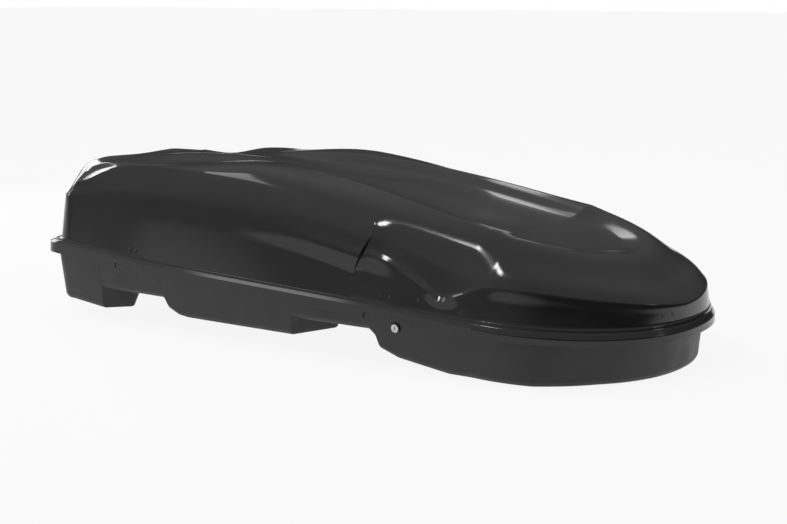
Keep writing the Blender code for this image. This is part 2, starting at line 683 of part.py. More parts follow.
def lid_mesh():
    s = lid_stations()
    halves = []
    for notched in (True, False):
        outer = lid_surface(s, LID_STEPS, notched)
        inner = inner_skin(lid_surface(s, LID_STEPS, notched, bladed=False), LID_WALL, 1)
        halves.append((outer, inner))
    near, far = halves
    mirror = np.array([1, -1, 1])
    return shell_mesh("lid_shell", [near, (far[0] * mirror, far[1] * mirror)])


def base_mesh():
    extra = [0.78, 0.92]
    for start, end in (REAR_CHANNEL, FRONT_CHANNEL):
        extra += [start, start + STEP, end]
    extra += [k for k, _ in BASE_MIDDLE[1:-1]] + [2.2914, 2.3165, 2.34]
    extra += [k for k, _ in NOSE_CORNER[1:-1]]
    s = stations([(0, 1, 4), (1, 2, 6), (2, 2.8, 12), (3, 4, 12)], extra)
    outer = base_rows(s)
    inner = inner_skin(outer, BASE_WALL, -1)
    mirror = np.array([1, -1, 1])
    return shell_mesh("base_shell", [(outer, inner), (outer * mirror, inner * mirror)])


# Pieces of the hinges, lock, stays and rails, each in its own collection entry
PARTS = "roof_box"


def put(name, mesh, mat, frame=None):
    """Add a piece; a mesh given in world places keeps them, whatever frame it gets."""
    return add_object(name, mesh, new_collection(PARTS), mat, frame)


def moved(mesh, frame):
    mesh.transform(frame.inverted())
    return mesh


def local(frame, s, inset, height, side):
    """Point of an inset ring in a frame's own directions."""
    x, y = inset_ring(np.array(s), inset)
    point = Vector((float(x), side * -float(y), float(rim_level(x)) + height))
    return frame.inverted() @ point


def station_at(frame, x_local):
    """Station of the side wall beside a place along a frame."""
    x = (frame @ Vector((x_local, 0, 0))).x
    s = np.linspace(2, 3.2, 241)
    return float(np.interp(x, inset_ring(s, WALL_INSET)[0], s))


def base_inner(s, height):
    return wall_inset(s, height) + BASE_WALL


def lid_inner(s, height):
    return lid_inset(s, height) + LID_WALL


def lip_inner(s, height):
    return np.full(np.shape(s), LID_WALL + 0.0012)


def joined(name, base, others, mat, frame, cuts=()):
    """Piece made of a base mesh with more meshes united to it and others cut out of it."""
    obj = put(name, base, mat, frame)
    for mesh in others:
        boolean(obj, mesh, frame, "UNION")
    for mesh in cuts:
        boolean(obj, mesh, frame, "DIFFERENCE")
    return obj


def wall_plate(name, inner, frame, x_local, width, heights, thickness, side, gap=WALL_GAP):
    """Mounting plate that follows a wall's inner face, in the frame's own directions."""
    half = width / 2
    span = (station_at(frame, x_local - half), station_at(frame, x_local + half))
    mesh = patch_mesh(name, inner, span, np.linspace(*heights, 3), gap, thickness, side)
    return moved(mesh, frame)


def add_hinges(frame, mats):
    """Three hinges under the far lip: base bracket, lid leaf and pin each."""
    third = HINGE_WIDTH / 3
    for number, s in enumerate(HINGE_STATIONS, 1):
        x0 = along_frame(frame, s, HINGE_INSET, 1)
        at = frame @ Matrix.Translation((x0, 0, 0))
        bore = HINGE_PIN_RADIUS + RUNNING_GAP / 2
        drop = HINGE_DROP
        wall_y = local(at, s, float(base_outer(np.array(s), -drop)), -drop, 1).y + GAP
        plate = patch_mesh("hinge_plate", base_outer, span_of(at, HINGE_WIDTH),
                           np.linspace(-drop - 0.016, -drop + 0.010, 3), -GAP - 0.002, 0.002, 1)
        others, cuts = [], [rod_mesh("bore", bore, -HINGE_WIDTH, 2 * HINGE_WIDTH, "X")]
        for sign in (-1, 1):
            low, high = sorted((sign * (third / 2 + RUNNING_GAP), sign * HINGE_WIDTH / 2))
            others.append(rod_mesh("knuckle", KNUCKLE_RADIUS, low, high - low, "X"))
            others.append(box_mesh("arm", (low, wall_y + 0.0008, -0.0025), (high, 0, 0.0015)))
        joined("hinge_bracket_%d" % number, moved(plate, at), others, mats["steel"], at, cuts)
        lip_y = local(at, s, float(lip_inner(np.array(s), 0)), -drop, 1).y
        leaf = patch_mesh("hinge_leaf", lip_inner, span_of(at, HINGE_WIDTH - 0.004),
                          np.linspace(-0.0405, -0.0405 + HINGE_LEAF_HEIGHT * 0.6, 3), GAP, HINGE_PLATE, 1)
        others = [rod_mesh("knuckle", KNUCKLE_RADIUS, -third / 2, third, "X"),
                  box_mesh("web", (-third / 2, min(0, lip_y) - 0.0035, -0.001),
                           (third / 2, lip_y - 0.0008, 0.0125))]
        joined("hinge_leaf_%d" % number, moved(leaf, at), others, mats["steel"], at, cuts)
        put("hinge_pin_%d" % number, rod_mesh("hinge_pin", HINGE_PIN_RADIUS, -HINGE_WIDTH / 2 - 0.001,
                                              HINGE_WIDTH + 0.002, "X"), mats["steel"], at)


def base_outer(s, height):
    return wall_inset(s, height)


def span_of(frame, width):
    return station_at(frame, -width / 2), station_at(frame, width / 2)


def add_lock(frame, mats):
    """Cylinder lock whose cam drives a long bar with hooks that hold the lid's strikers."""
    z_lock = BAR_DROP - LOCK_DROP
    x_lock = along_frame(frame, LOCK_STATION, BAR_INSET, -1)
    y_wall = local(frame, LOCK_STATION, float(base_outer(np.array(LOCK_STATION), -LOCK_DROP)),
                   -LOCK_DROP, -1).y
    lean = math.atan(WALL_DRAFT / DRAFT_DEPTH)
    lock = frame @ Matrix.Translation((x_lock, y_wall, z_lock)) @ Matrix.Rotation(lean, 4, "X")
    neck = BARREL_RADIUS + 0.0018
    bore = BARREL_RADIUS + RUNNING_GAP
    housing = rod_mesh("housing", LOCK_FACE_RADIUS, -0.0040, 0.0035, "Y", sides=32)
    joined("lock_housing", housing, [rod_mesh("neck", neck, -0.002, 0.014, "Y", sides=32)],
           mats["trim"], lock, [rod_mesh("bore", bore, -0.01, 0.04, "Y", sides=32)])
    nut = rod_mesh("nut", neck + 0.005, BASE_WALL + 2 * GAP, 0.004, "Y", sides=6)
    joined("lock_nut", nut, [], mats["steel"], lock,
           [rod_mesh("bore", neck + GAP, -0.01, 0.04, "Y", sides=32)])
    face = -0.0044
    slot = box_mesh("slot", (-KEY_SLOT_WIDTH / 2, face - 0.01, -KEY_SLOT_LENGTH / 2),
                    (KEY_SLOT_WIDTH / 2, face + 0.008, KEY_SLOT_LENGTH / 2))
    joined("lock_barrel", rod_mesh("barrel", BARREL_RADIUS, face, BARREL_LENGTH * 0.62, "Y", sides=32),
           [], mats["steel"], lock, [slot])
    turn = -math.radians(LOCK_TURN / 2)
    pin = (CAM_THROW * math.sin(turn), CAM_THROW * math.cos(turn))
    y_cam = face + BARREL_LENGTH * 0.62 + GAP
    cam = rod_mesh("cam", 0.0075, y_cam, 0.0025, "Y", sides=24)
    across = Matrix.Rotation(turn, 4, "Y")
    web = box_mesh("web", (-0.005, y_cam, 0), (0.005, y_cam + 0.0025, CAM_THROW))
    web.transform(across)
    head = rod_mesh("head", 0.005, y_cam, 0.0025, "Y", pin, 24)
    crank = rod_mesh("crank", CAM_PIN_RADIUS, y_cam + 0.001, 0.013, "Y", pin, 16)
    joined("lock_cam", cam, [web, head, crank], mats["steel"], lock)

    first, last = [along_frame(frame, s, BAR_INSET, -1) for s in (GUIDE_STATIONS[0], GUIDE_STATIONS[-1])]
    travel = 2 * CAM_THROW * math.sin(math.radians(LOCK_TURN / 2))
    half_z, half_y = BAR_HEIGHT / 2, BAR_THICKNESS / 2
    bar = box_mesh("bar", (first - 0.035, -half_y, -half_z), (last + 0.020, half_y, half_z))
    x_pin = x_lock + pin[0]
    tab = box_mesh("tab", (x_pin - 0.010, -half_y, -half_z - 0.011), (x_pin + 0.010, half_y, 0))
    wide = CAM_PIN_RADIUS + CAM_SLOT_CLEARANCE
    low = z_lock + pin[1] - CAM_PIN_RADIUS - 0.001
    yoke = box_mesh("yoke", (x_pin - wide, -0.01, low), (x_pin + wide, 0.01, half_z - 0.007))
    joined("lock_bar", bar, [tab], mats["steel"], frame, [yoke])

    for number, s in enumerate(HOOK_STATIONS, 1):
        x0 = along_frame(frame, s, BAR_INSET, -1)
        near, far = half_y + GAP, half_y + GAP + BAR_THICKNESS
        tip = x0 - STRIKER_THICKNESS / 2 - 0.002
        stem = box_mesh("hook", (tip - HOOK_REACH - 0.012, near, -half_z + 0.002),
                        (tip - HOOK_REACH, far, half_z + 0.006 + HOOK_HEIGHT * 0.45))
        finger = box_mesh("finger", (tip - HOOK_REACH - 0.001, near, half_z + 0.010 - 0.0037),
                          (tip, far, half_z + 0.006 + HOOK_HEIGHT * 0.45))
        joined("lock_hook_%d" % number, stem, [finger], mats["steel"], frame)
        middle = (near + far) / 2
        half_w = STRIKER_WIDTH / 2
        x1, x2 = x0 - STRIKER_THICKNESS / 2, x0 + STRIKER_THICKNESS / 2
        z_up = BAR_DROP + 0.020
        y_skin = local(frame, s, float(lid_inner(np.array(s), 0.020)), 0.020, -1).y
        plate = wall_plate("striker", lid_inner, frame, x0, 0.024, (0.008, 0.036), 0.0025, -1)
        arm = box_mesh("arm", (x1, y_skin + WALL_GAP + 0.0018, z_up - 0.010), (x2, middle + half_w, z_up + 0.006))
        leg = box_mesh("leg", (x1, middle - half_w, half_z + 0.002), (x2, middle + half_w, z_up))
        window = box_mesh("window", (x0 - 0.01, middle - 0.0032, half_z + 0.0045),
                          (x0 + 0.01, middle + 0.0032, half_z + 0.0155))
        joined("striker_%d" % number, plate, [arm, leg], mats["steel"], frame, [window])

    for number, s in enumerate(GUIDE_STATIONS, 1):
        x0 = along_frame(frame, s, BAR_INSET, -1)
        y_skin = local(frame, s, float(base_inner(np.array(s), -BAR_DROP)), -BAR_DROP, -1).y
        plate = wall_plate("guide", base_inner, frame, x0, GUIDE_WIDTH + 0.016,
                           (-BAR_DROP - 0.016, -BAR_DROP + 0.010), GUIDE_WALL, -1)
        half = GUIDE_WIDTH / 2
        block = box_mesh("block", (x0 - half, y_skin + WALL_GAP + GUIDE_WALL * 0.9, -half_z - 0.002),
                         (x0 + half, half_y + RUNNING_GAP + GUIDE_WALL, half_z + 0.003))
        slot = box_mesh("slot", (x0 - 0.05, -half_y - RUNNING_GAP, -half_z - RUNNING_GAP),
                        (x0 + 0.05, half_y + RUNNING_GAP, half_z + RUNNING_GAP))
        joined("bar_guide_%d" % number, plate, [block], mats["plastic"], frame, [slot])
    return lock, travel, neck


def rivet(name, point, normal, mat):
    """Domed head of a rivet, standing on the skin."""
    frame = Vector((0, 0, 1)).rotation_difference(normal).to_matrix().to_4x4()
    frame.translation = point
    bm = bmesh.new()
    bmesh.ops.create_cone(bm, cap_ends=True, segments=20, radius1=RIVET_RADIUS,
                          radius2=RIVET_RADIUS * 0.62, depth=RIVET_HEIGHT)
    bmesh.ops.translate(bm, verts=bm.verts, vec=(0, 0, RIVET_HEIGHT / 2 + RIVET_GAP))
    mesh = bpy.data.meshes.new(name)
    bm.to_mesh(mesh)
    bm.free()
    return put(name, mesh, mat, frame)


def on_skin(mesh, wall, s, height):
    """Point and outward normal of a shell's skin nearest to a station and height of its wall."""
    x, y = inset_ring(np.array(s), wall(np.array(s), height) - 0.01)
    skin = BVHTree.FromPolygons([v.co for v in mesh.vertices], [p.vertices[:] for p in mesh.polygons])
    point, normal, _, _ = skin.find_nearest(Vector((float(x), float(y), float(rim_level(x)) + height)))
    return point, normal


def lid_section(frame, x, gap):
    """Inner face of the lid where a plane across a frame cuts it: (y, z) from near rim to far rim."""
    skin = lid_surface(lid_stations(), LID_STEPS, False, bladed=False)
    inner = inner_skin(skin, LID_WALL + gap, 1)[2:]
    turn = np.array(frame.inverted())
    sides = []
    for mirror in (1, -1):
        grid = inner * np.array([1, mirror, 1]) @ turn[:3, :3].T + turn[:3, 3]
        points = []
        for row in grid:
            if row[0, 0] <= x <= row[-1, 0]:
                order = np.argsort(row[:, 0])
                points.append([np.interp(x, row[order, 0], row[order, k]) for k in (1, 2)])
        end = grid[:, -1] if x + frame.translation.x > 0 else grid[:, 0]
        order = np.argsort(end[:, 0])
        points.append([np.interp(x, end[order, 0], end[order, k]) for k in (1, 2)])
        sides.append(np.array(points))
    return np.concatenate([sides[0], sides[1][-2::-1]])


def prism(name, outline, start, thickness):
    """Plate across X with a closed outline of (y, z) points."""
    bm = bmesh.new()
    ring_a = [bm.verts.new((start, y, z)) for y, z in outline]
    ring_b = [bm.verts.new((start + thickness, y, z)) for y, z in outline]
    bm.faces.new(ring_a)
    bm.faces.new(ring_b[::-1])
    count = len(outline)
    for i in range(count):
        j = (i + 1) % count
        bm.faces.new((ring_a[j], ring_a[i], ring_b[i], ring_b[j]))
    bmesh.ops.recalc_face_normals(bm, faces=bm.faces)
    mesh = bpy.data.meshes.new(name)
    bm.to_mesh(mesh)
    bm.free()
    return mesh


def stay_path(count):
    """Place of the stud seen from the lid while it opens, as (along, up) from the hinge line."""
    pivot, rest = Vector(STAY_PIVOT), Vector(STAY_REST)
    length = (rest - pivot).length
    start = math.atan2(rest.y - pivot.y, rest.x - pivot.x)
    places = []
    for i in range(count):
        lid_turn = math.radians(LID_OPENING) * (i / (count - 1) * 1.02 - 0.01)
        arm_turn = start + STAY_RATIO * lid_turn
        place = pivot + Vector((math.cos(arm_turn), math.sin(arm_turn))) * length
        c, s = math.cos(-lid_turn), math.sin(-lid_turn)
        places.append((place.x * c - place.y * s, place.x * s + place.y * c))
    return places


def widened(path, width):
    """Closed outline round a path at a distance, with round ends."""
    points = [np.array(p) for p in path]
    left, right = [], []
    for i, point in enumerate(points):
        step = points[min(i + 1, len(points) - 1)] - points[max(i - 1, 0)]
        normal = np.array([-step[1], step[0]]) / np.linalg.norm(step)
        left.append(point + normal * width)
        right.append(point - normal * width)
    caps = []
    for point, other, start in ((points[-1], points[-2], left[-1]), (points[0], points[1], right[0])):
        first = math.atan2(*(start - point)[::-1])
        caps.append([point + width * np.array([math.cos(first - k * math.pi / 6),
                                               math.sin(first - k * math.pi / 6)]) for k in range(1, 6)])
    return left + caps[0] + right[::-1] + caps[1]


def stay_frame(hinge, x):
    """Hinge frame slid along the hinge line to a plane across the box."""
    distance = (x - hinge.translation.x) / hinge.col[0].x
    return hinge @ Matrix.Translation((distance, 0, 0))


def add_stay(which, hinge, x, mats):
    """Folding arm that turns at the base and runs in a slot of the lid's rib."""
    at = stay_frame(hinge, x)
    way = 1 if x > 0 else -1
    slot = [(-a, b) for a, b in stay_path(13)]
    clear = STAY_STUD_RADIUS + RUNNING_GAP / 2
    thick = RAIL_THICKNESS + 0.0006
    section = lid_section(at, way * thick, WALL_GAP)
    top = [(y, z) for y, z in section if slot[0][0] - 0.020 < y < slot[-1][0] + 0.030]
    border = STAY_STUD_RADIUS + RAIL_BORDER
    below = [(slot[-1][0] + border, slot[-1][1] + 0.012)]
    below += [(y, z - border) for y, z in slot[::-1]]
    below += [(slot[0][0] - border, slot[0][1] + 0.006)]
    rib = prism("rib", top + below, 0, thick * way)
    joined("lid_rib_" + which, rib, [], mats["trim"], at,
           [prism("slot", widened(slot, clear), -0.01, 0.02)])

    pivot = (-STAY_PIVOT[0], STAY_PIVOT[1])
    rest = (-STAY_REST[0], STAY_REST[1])
    arm_at = at @ Matrix.Translation((0, pivot[0], pivot[1]))
    low = -way * GAP - (STAY_ARM_THICKNESS if way > 0 else 0)
    reach = (rest[0] - pivot[0], rest[1] - pivot[1])
    flat = prism("arm", widened([(0, 0), reach], STAY_ARM_WIDTH / 2), low, STAY_ARM_THICKNESS)
    holes = [rod_mesh("hole", STAY_PIN_RADIUS + RUNNING_GAP / 2, -0.02, 0.04, "X"),
             rod_mesh("hole", STAY_STUD_RADIUS - 0.001 + GAP, -0.02, 0.04, "X", reach)]
    joined("stay_arm_" + which, flat, [], mats["steel"], arm_at, holes)
    back = -way * (STAY_ARM_THICKNESS + GAP)
    front = way * (thick + GAP)
    stem = STAY_STUD_RADIUS - 0.001
    profile = [(back - way * 0.003, 0), (back - way * 0.003, STAY_STUD_RADIUS + 0.002),
               (back - way * GAP, STAY_STUD_RADIUS + 0.002), (back - way * GAP, stem),
               (-way * GAP / 2, stem), (-way * GAP / 2, STAY_STUD_RADIUS),
               (front, STAY_STUD_RADIUS), (front, STAY_STUD_RADIUS + 0.0035),
               (front + way * 0.002, STAY_STUD_RADIUS + 0.0035), (front + way * 0.003, STAY_STUD_RADIUS),
               (front + way * 0.003, 0)]
    put("stay_stud_" + which, turned("stud", profile, reach), mats["steel"], arm_at)

    pin_far = back - way * 0.003 + way * STAY_PIN_LENGTH
    profile = [(back - way * 0.003, 0), (back - way * 0.003, STAY_PIN_RADIUS + 0.003),
               (back - way * GAP, STAY_PIN_RADIUS + 0.003), (back - way * GAP, STAY_PIN_RADIUS),
               (pin_far, STAY_PIN_RADIUS), (pin_far, 0)]
    put("stay_pin_" + which, turned("pin", profile), mats["steel"], arm_at)

    s = np.linspace(3, 4, 201) if way > 0 else np.linspace(0, 1, 201)
    height = arm_at.translation.z - rim_level(arm_at.translation.x)
    across = -inset_ring(s, base_inner(s, height))[1]
    order = np.argsort(across)
    s_wall = float(np.interp(arm_at.translation.y, across[order], s[order]))
    spread = 0.022 if way > 0 else 0.07
    span = (s_wall - spread, s_wall + spread)
    heights = np.linspace(height - 0.020, height + 0.020, 3)
    plate = patch_mesh("plate", base_inner, span, heights, WALL_GAP, 0.0025, 1)
    ends = np.array([s_wall - 0.7 * spread, s_wall + 0.7 * spread])
    x, y = inset_ring(ends, base_inner(ends, height) + WALL_GAP + 0.0012)
    (x1, y1), (x2, y2) = sorted(zip(x.tolist(), (-y).tolist()), key=lambda point: point[1])
    plane = (arm_at @ Vector((pin_far + way * 0.001, 0, 0))).x
    block = wedge((x1, y1), (x2, y2), plane - way * 0.010, arm_at.translation.y, 0.012,
                  arm_at.translation.z, 0.009)
    hole = rod_mesh("hole", STAY_PIN_RADIUS + RUNNING_GAP / 2, -0.05, 0.1, "X")
    joined("stay_bracket_" + which, moved(plate, arm_at), [moved(block, arm_at)], mats["steel"], arm_at,
           [hole])


def turned(name, profile, centre=(0, 0), sides=16):
    """Solid turned about X from (x, radius) points that start and end on the axis."""
    bm = bmesh.new()
    verts = [bm.verts.new((x, centre[0] + r, centre[1])) for x, r in profile]
    edges = [bm.edges.new(pair) for pair in zip(verts, verts[1:])]
    bmesh.ops.spin(bm, geom=verts + edges, cent=(0, *centre), axis=(1, 0, 0), angle=2 * math.pi,
                   steps=sides, use_merge=True)
    bmesh.ops.remove_doubles(bm, verts=bm.verts, dist=0.00001)
    bmesh.ops.recalc_face_normals(bm, faces=bm.faces)
    mesh = bpy.data.meshes.new(name)
    bm.to_mesh(mesh)
    bm.free()
    return mesh


def wedge(near, far, x_end, y_end, half_y, z, half_z):
    """Block from two points on a wall to a square end across X."""
    corners = [near, far, (x_end, y_end + half_y), (x_end, y_end - half_y)]
    bm = bmesh.new()
    low = [bm.verts.new((x, y, z - half_z)) for x, y in corners]
    high = [bm.verts.new((x, y, z + half_z)) for x, y in corners]
    bm.faces.new(low)
    bm.faces.new(high[::-1])
    for i in range(4):
        j = (i + 1) % 4
        bm.faces.new((low[j], low[i], high[i], high[j]))
    bmesh.ops.recalc_face_normals(bm, faces=bm.faces)
    mesh = bpy.data.meshes.new("wedge")
    bm.to_mesh(mesh)
    bm.free()
    return mesh


def add_floor_rails(mats):
    """Two channels on the raised floor for straps."""
    for number, side in enumerate((-1, 1), 1):
        half, wall, tall = FLOOR_RAIL_WIDTH / 2, FLOOR_RAIL_WALL, FLOOR_RAIL_HEIGHT
        level = BAR_LEVEL + BASE_WALL + GAP
        frame = Matrix.Translation((0, side * FLOOR_RAIL_Y, level))
        start, end = -LENGTH / 2 + FLOOR_RAIL_REAR_SETBACK, LENGTH / 2 - FLOOR_RAIL_NOSE_SETBACK
        rail = box_mesh("rail", (start, -half, 0), (end, half, tall))
        groove = box_mesh("groove", (-1, -half + wall, wall), (1, half - wall, tall + 0.01))
        joined("floor_rail_%d" % number, rail, [], mats["steel"], frame, [groove])


LID_RIVETS = [(2.2065, .020), (2.2223, .020), (2.8295, .020), (2.8496, .020), (2.9108, .024)]
NOSE_RIVETS = [(3.80, .020), (3.86, .020)]
BASE_RIVETS = [(3.69, -.046), (3.75, -.046)]


def add_rivets(base, lid, mats):
    for number, (s, height) in enumerate(LID_RIVETS + NOSE_RIVETS, 1):
        rivet("lid_rivet_%d" % number, *on_skin(lid, lid_inset, s, height), mats["trim"])
    for number, (s, height) in enumerate(BASE_RIVETS, 1):
        rivet("base_rivet_%d" % number, *on_skin(base, base_outer, s, height), mats["trim"])


def main():
    clear_scene()
    mats = {"lid": material("lid_gloss_black", (0.022, 0.021, 0.023), 0.28, 0),
            "base": material("base_matt_black", (0.030, 0.030, 0.030), 0.58, 0),
            "steel": material("zinc_plated_steel", (0.56, 0.56, 0.57), 0.36, 1),
            "trim": material("trim_black", (0.028, 0.028, 0.030), 0.40, 0),
            "plastic": material("plastic_dark_grey", (0.060, 0.060, 0.063), 0.50, 0)}
    hinge = line_frame(HINGE_STATIONS[0], HINGE_STATIONS[-1], HINGE_INSET, HINGE_DROP, 1)
    bar = line_frame(HINGE_STATIONS[0], HINGE_STATIONS[-1], BAR_INSET, BAR_DROP, -1)
    lock, travel, neck = add_lock(bar, mats)
    base = put("base_shell", base_mesh(), mats["base"])
    boolean(base, rod_mesh("lock_hole", neck + GAP, -0.02, 0.04, "Y", sides=32), lock, "DIFFERENCE")
    lid = put("lid_shell", lid_mesh(), mats["lid"])
    add_hinges(hinge, mats)
    add_stay("front", hinge, LENGTH / 2 - STAY_FRONT_SETBACK, mats)
    add_stay("rear", hinge, -LENGTH / 2 + STAY_REAR_SETBACK, mats)
    add_floor_rails(mats)
    add_rivets(base.data, lid.data, mats)
    for obj in new_collection(PARTS).objects:
        obj.data.shade_smooth()
        obj.data.set_sharp_from_angle(angle=math.radians(28))


main()
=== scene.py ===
"""Roof box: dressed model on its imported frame."""
import math

import bmesh
import bpy
import numpy as np
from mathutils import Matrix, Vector


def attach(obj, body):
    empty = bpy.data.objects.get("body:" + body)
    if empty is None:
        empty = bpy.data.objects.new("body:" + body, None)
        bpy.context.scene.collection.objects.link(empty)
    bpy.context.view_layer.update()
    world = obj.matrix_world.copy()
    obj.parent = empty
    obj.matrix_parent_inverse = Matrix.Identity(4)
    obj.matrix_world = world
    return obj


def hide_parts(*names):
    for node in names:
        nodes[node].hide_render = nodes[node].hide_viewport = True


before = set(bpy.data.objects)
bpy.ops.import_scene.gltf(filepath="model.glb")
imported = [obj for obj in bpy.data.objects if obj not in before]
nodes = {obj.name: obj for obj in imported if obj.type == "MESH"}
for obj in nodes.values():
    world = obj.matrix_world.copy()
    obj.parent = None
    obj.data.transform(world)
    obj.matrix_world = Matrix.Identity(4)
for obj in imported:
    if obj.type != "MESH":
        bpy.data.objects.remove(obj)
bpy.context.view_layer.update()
scene = bpy.context.scene
scene.view_settings.view_transform = "Standard"


# Camera: a long lens 4.4 m from the box and just under a metre above the floor, turned 34 degrees
# from the side that opens towards the nose.
TARGET = Vector((0.052, 0.0, 0.189))
DISTANCE = 4.429
TURN, RISE = math.radians(33.921), math.radians(9.676)
SENSOR_WIDTH, FOCAL_PIXELS, PICTURE_PIXELS = 36.0, 1600, 787

back = Vector((math.sin(TURN) * math.cos(RISE), -math.cos(TURN) * math.cos(RISE), math.sin(RISE)))
lens = bpy.data.cameras.new("camera")
lens.sensor_width = SENSOR_WIDTH
lens.lens = FOCAL_PIXELS / PICTURE_PIXELS * SENSOR_WIDTH
camera = bpy.data.objects.new("camera", lens)
camera.location = TARGET + back * DISTANCE
camera.rotation_euler = back.to_track_quat("Z", "Y").to_euler()
scene.collection.objects.link(camera)
scene.camera = camera


# Lid: one vacuum-formed sheet of gloss black ABS, 4 mm thick, trimmed at the lip and hinged on the
# far side. It carries two raised blades with cut ends, a shoulder crest on each side, a long trough
# in the roof and two hand notches in the lip of the side that opens.
LENGTH, WIDTH = 1.92, 0.842
RIM_HEIGHT, RIM_FALL = 0.176, 0.039
NOSE_LENGTH, NOSE_POWER = 0.44, 2.18
REAR_WIDTH, REAR_BOW = 0.754, 0.02
CORNER_DEPTH, CORNER_RADIUS = 0.09, 0.07
CORNER_X = -LENGTH / 2 + CORNER_DEPTH
NOSE_X = LENGTH / 2 - NOSE_LENGTH
MIRROR = np.array([1, -1, 1])
LID_WALL = 0.004
# Flange: its band, its foot, its lip, its hand notches as stations, its rise and trim at the rear
BAND_INSET, BAND_DROP_SIDE, BAND_DROP_NOSE = 0.0012, 0.013, 0.023
FOOT_INSET, CORNER_FOOT_INSET, REAR_FOOT_INSET = 0.015, 0.024, 0.031
FOOT_RADIUS = CORNER_RADIUS - 0.008
LIP_BOTTOM, GRIP_LIFT = 0.041, 0.015
FRONT_GRIP, REAR_GRIP = (2.80, 2.963), (2.172, 2.252)
NOTCH_END = 0.0012
REAR_RISE, REAR_TRIM = 0.013, 0.011
# Bead and groove pressed along the flange: height or depth, and where across the flange
BEAD_HEIGHT, BEAD_START, BEAD_SPAN = 0.0018, 0.70, 0.24
GROOVE_DEPTH, GROOVE_START, GROOVE_SPAN = 0.0009, 0.50, 0.20
# Blade: how proud it stands, then its cut's station and width and the reach of the lean, in stations
BLADE_PROUD, BLADE_CUT, CUT_WIDTH, LEAN_REACH = 0.007, 2.763, 0.0015, 0.14
SWELL_STRETCH, SWELL_POWER = 1.05, 0.6
# A station past the tip, for rings that the blade's cut doesn't cross
NO_CUT = 9
# Averaging along the rings: margin past both ends, samples and the sharpest bell, in stations
BLUR_MARGIN, BLUR_SAMPLES, SHARPEST_BELL = 0.4, 1921, 0.0005


def through(knots, s):
    """Cubic pieces through (station, value) knots whose slopes never overshoot."""
    x, y = np.array(knots, float).T
    rise = np.diff(y) / np.diff(x)
    a, b = x[2:] - x[1:-1], x[1:-1] - x[:-2]
    same = rise[:-1] * rise[1:] > 0
    safe = np.where(same, rise[:-1], 1.0), np.where(same, rise[1:], 1.0)
    middle = (3 * (a + b)) / ((2 * a + b) / safe[0] + (a + 2 * b) / safe[1])
    slope = np.r_[rise[0], np.where(same, middle, 0.0), rise[-1]]
    s = np.clip(s, x[0], x[-1])
    i = np.clip(np.searchsorted(x, s, side="right") - 1, 0, len(x) - 2)
    width = x[i + 1] - x[i]
    t = (s - x[i]) / width
    return ((2 * t**3 - 3 * t**2 + 1) * y[i] + (t**3 - 2 * t**2 + t) * width * slope[i]
            + (3 * t**2 - 2 * t**3) * y[i + 1] + (t**3 - t**2) * width * slope[i + 1])


def eased(knots, s, blur, cut):
    """The curve through the knots, averaged over a bell of width blur(s) on each side of the cut."""
    wide = np.linspace(-BLUR_MARGIN, 4 + BLUR_MARGIN, BLUR_SAMPLES)
    folded = np.where(wide < 0, -wide, np.where(wide > 4, 8 - wide, wide))
    spread = np.maximum(np.interp(s, *np.array(blur, float).T), SHARPEST_BELL)[:, None]
    weight = np.exp(-0.5 * ((wide[None] - s[:, None]) / spread)**2) + 1e-300
    behind = through(knots, np.minimum(folded, 2 * cut - folded))
    ahead = through(knots, np.maximum(folded, 2 * cut - folded))
    values = np.where(s[:, None] <= cut + 1e-6, behind, ahead)
    return (weight * values).sum(1) / weight.sum(1)


def leaning(s, lean):
    """Stations of a ring's ribs, moved forward round the cut of the blade as a quartic bell."""
    away = np.clip(np.abs(s - BLADE_CUT) / LEAN_REACH, 0, 1)
    return s + lean * (1 - away**2)**2


def half_width(s):
    """REAR_WIDTH at the rear corner, swelling as a parabola to WIDTH at the nose."""
    f = np.clip(s - 2, 0, 1)
    return REAR_WIDTH / 2 + (WIDTH - REAR_WIDTH) / 2 * (1 - (1 - f)**2)


def ring(s, inset, rear, radius, nose):
    """Half plan curve over the stations s: a bowed rear from 0 to 1, a quarter-round corner to 2, the
    side to 3 and a quarter superellipse nose to 4."""
    edge = half_width(s) - inset
    rear_half = REAR_WIDTH / 2 - np.interp(2.0, s, np.broadcast_to(inset, s.shape))
    flat = rear_half - radius
    y_rear = -flat * np.clip(s, 0, 1)
    x_rear = rear + REAR_BOW * (y_rear / (REAR_WIDTH / 2))**2
    x_flat = rear + REAR_BOW * (flat / (REAR_WIDTH / 2))**2
    turn = np.clip(s - 1, 0, 1) * math.pi / 2
    x_side0 = x_flat + radius
    f = np.clip(s - 2, 0, 1)
    x_side = CORNER_X + (NOSE_X - CORNER_X) * f + (x_side0 - CORNER_X) * (1 - f)**2
    quarter = np.clip(s - 3, 0, 1) * math.pi / 2
    x_nose = NOSE_X + (nose - NOSE_X) * np.sin(quarter)**(2 / NOSE_POWER)
    y_nose = -edge * np.clip(np.cos(quarter), 0, 1)**(2 / NOSE_POWER)
    x_corner, y_corner = x_flat + radius * (1 - np.cos(turn)), -flat - radius * np.sin(turn)
    x = np.select([s <= 1, s <= 2, s <= 3], [x_rear, x_corner, x_side], x_nose)
    y = np.select([s <= 1, s <= 2, s <= 3], [y_rear, y_corner, -edge], y_nose)
    return x, y


def lifted(plan, height):
    """Plan curve raised to a height above the rim plane, which falls towards the nose."""
    x, y = plan
    return np.stack([x, y, RIM_HEIGHT - RIM_FALL * x + height], axis=-1)


# Width of the averaging bell along a ring: (station, width in stations)
SOFT = [(0, .08), (4, .08)]
CREASED = [(0, .05), (2.0, .05), (2.3, .06), (2.7, .03), (2.755, .002), (2.80, .004), (2.93, .006),
           (3.0, .006), (3.1, .02), (3.4, .06), (4, .06)]
SHOULDER = [(0, .05), (2.0, .02), (2.2, .03), (2.5, .08), (4, .08)]
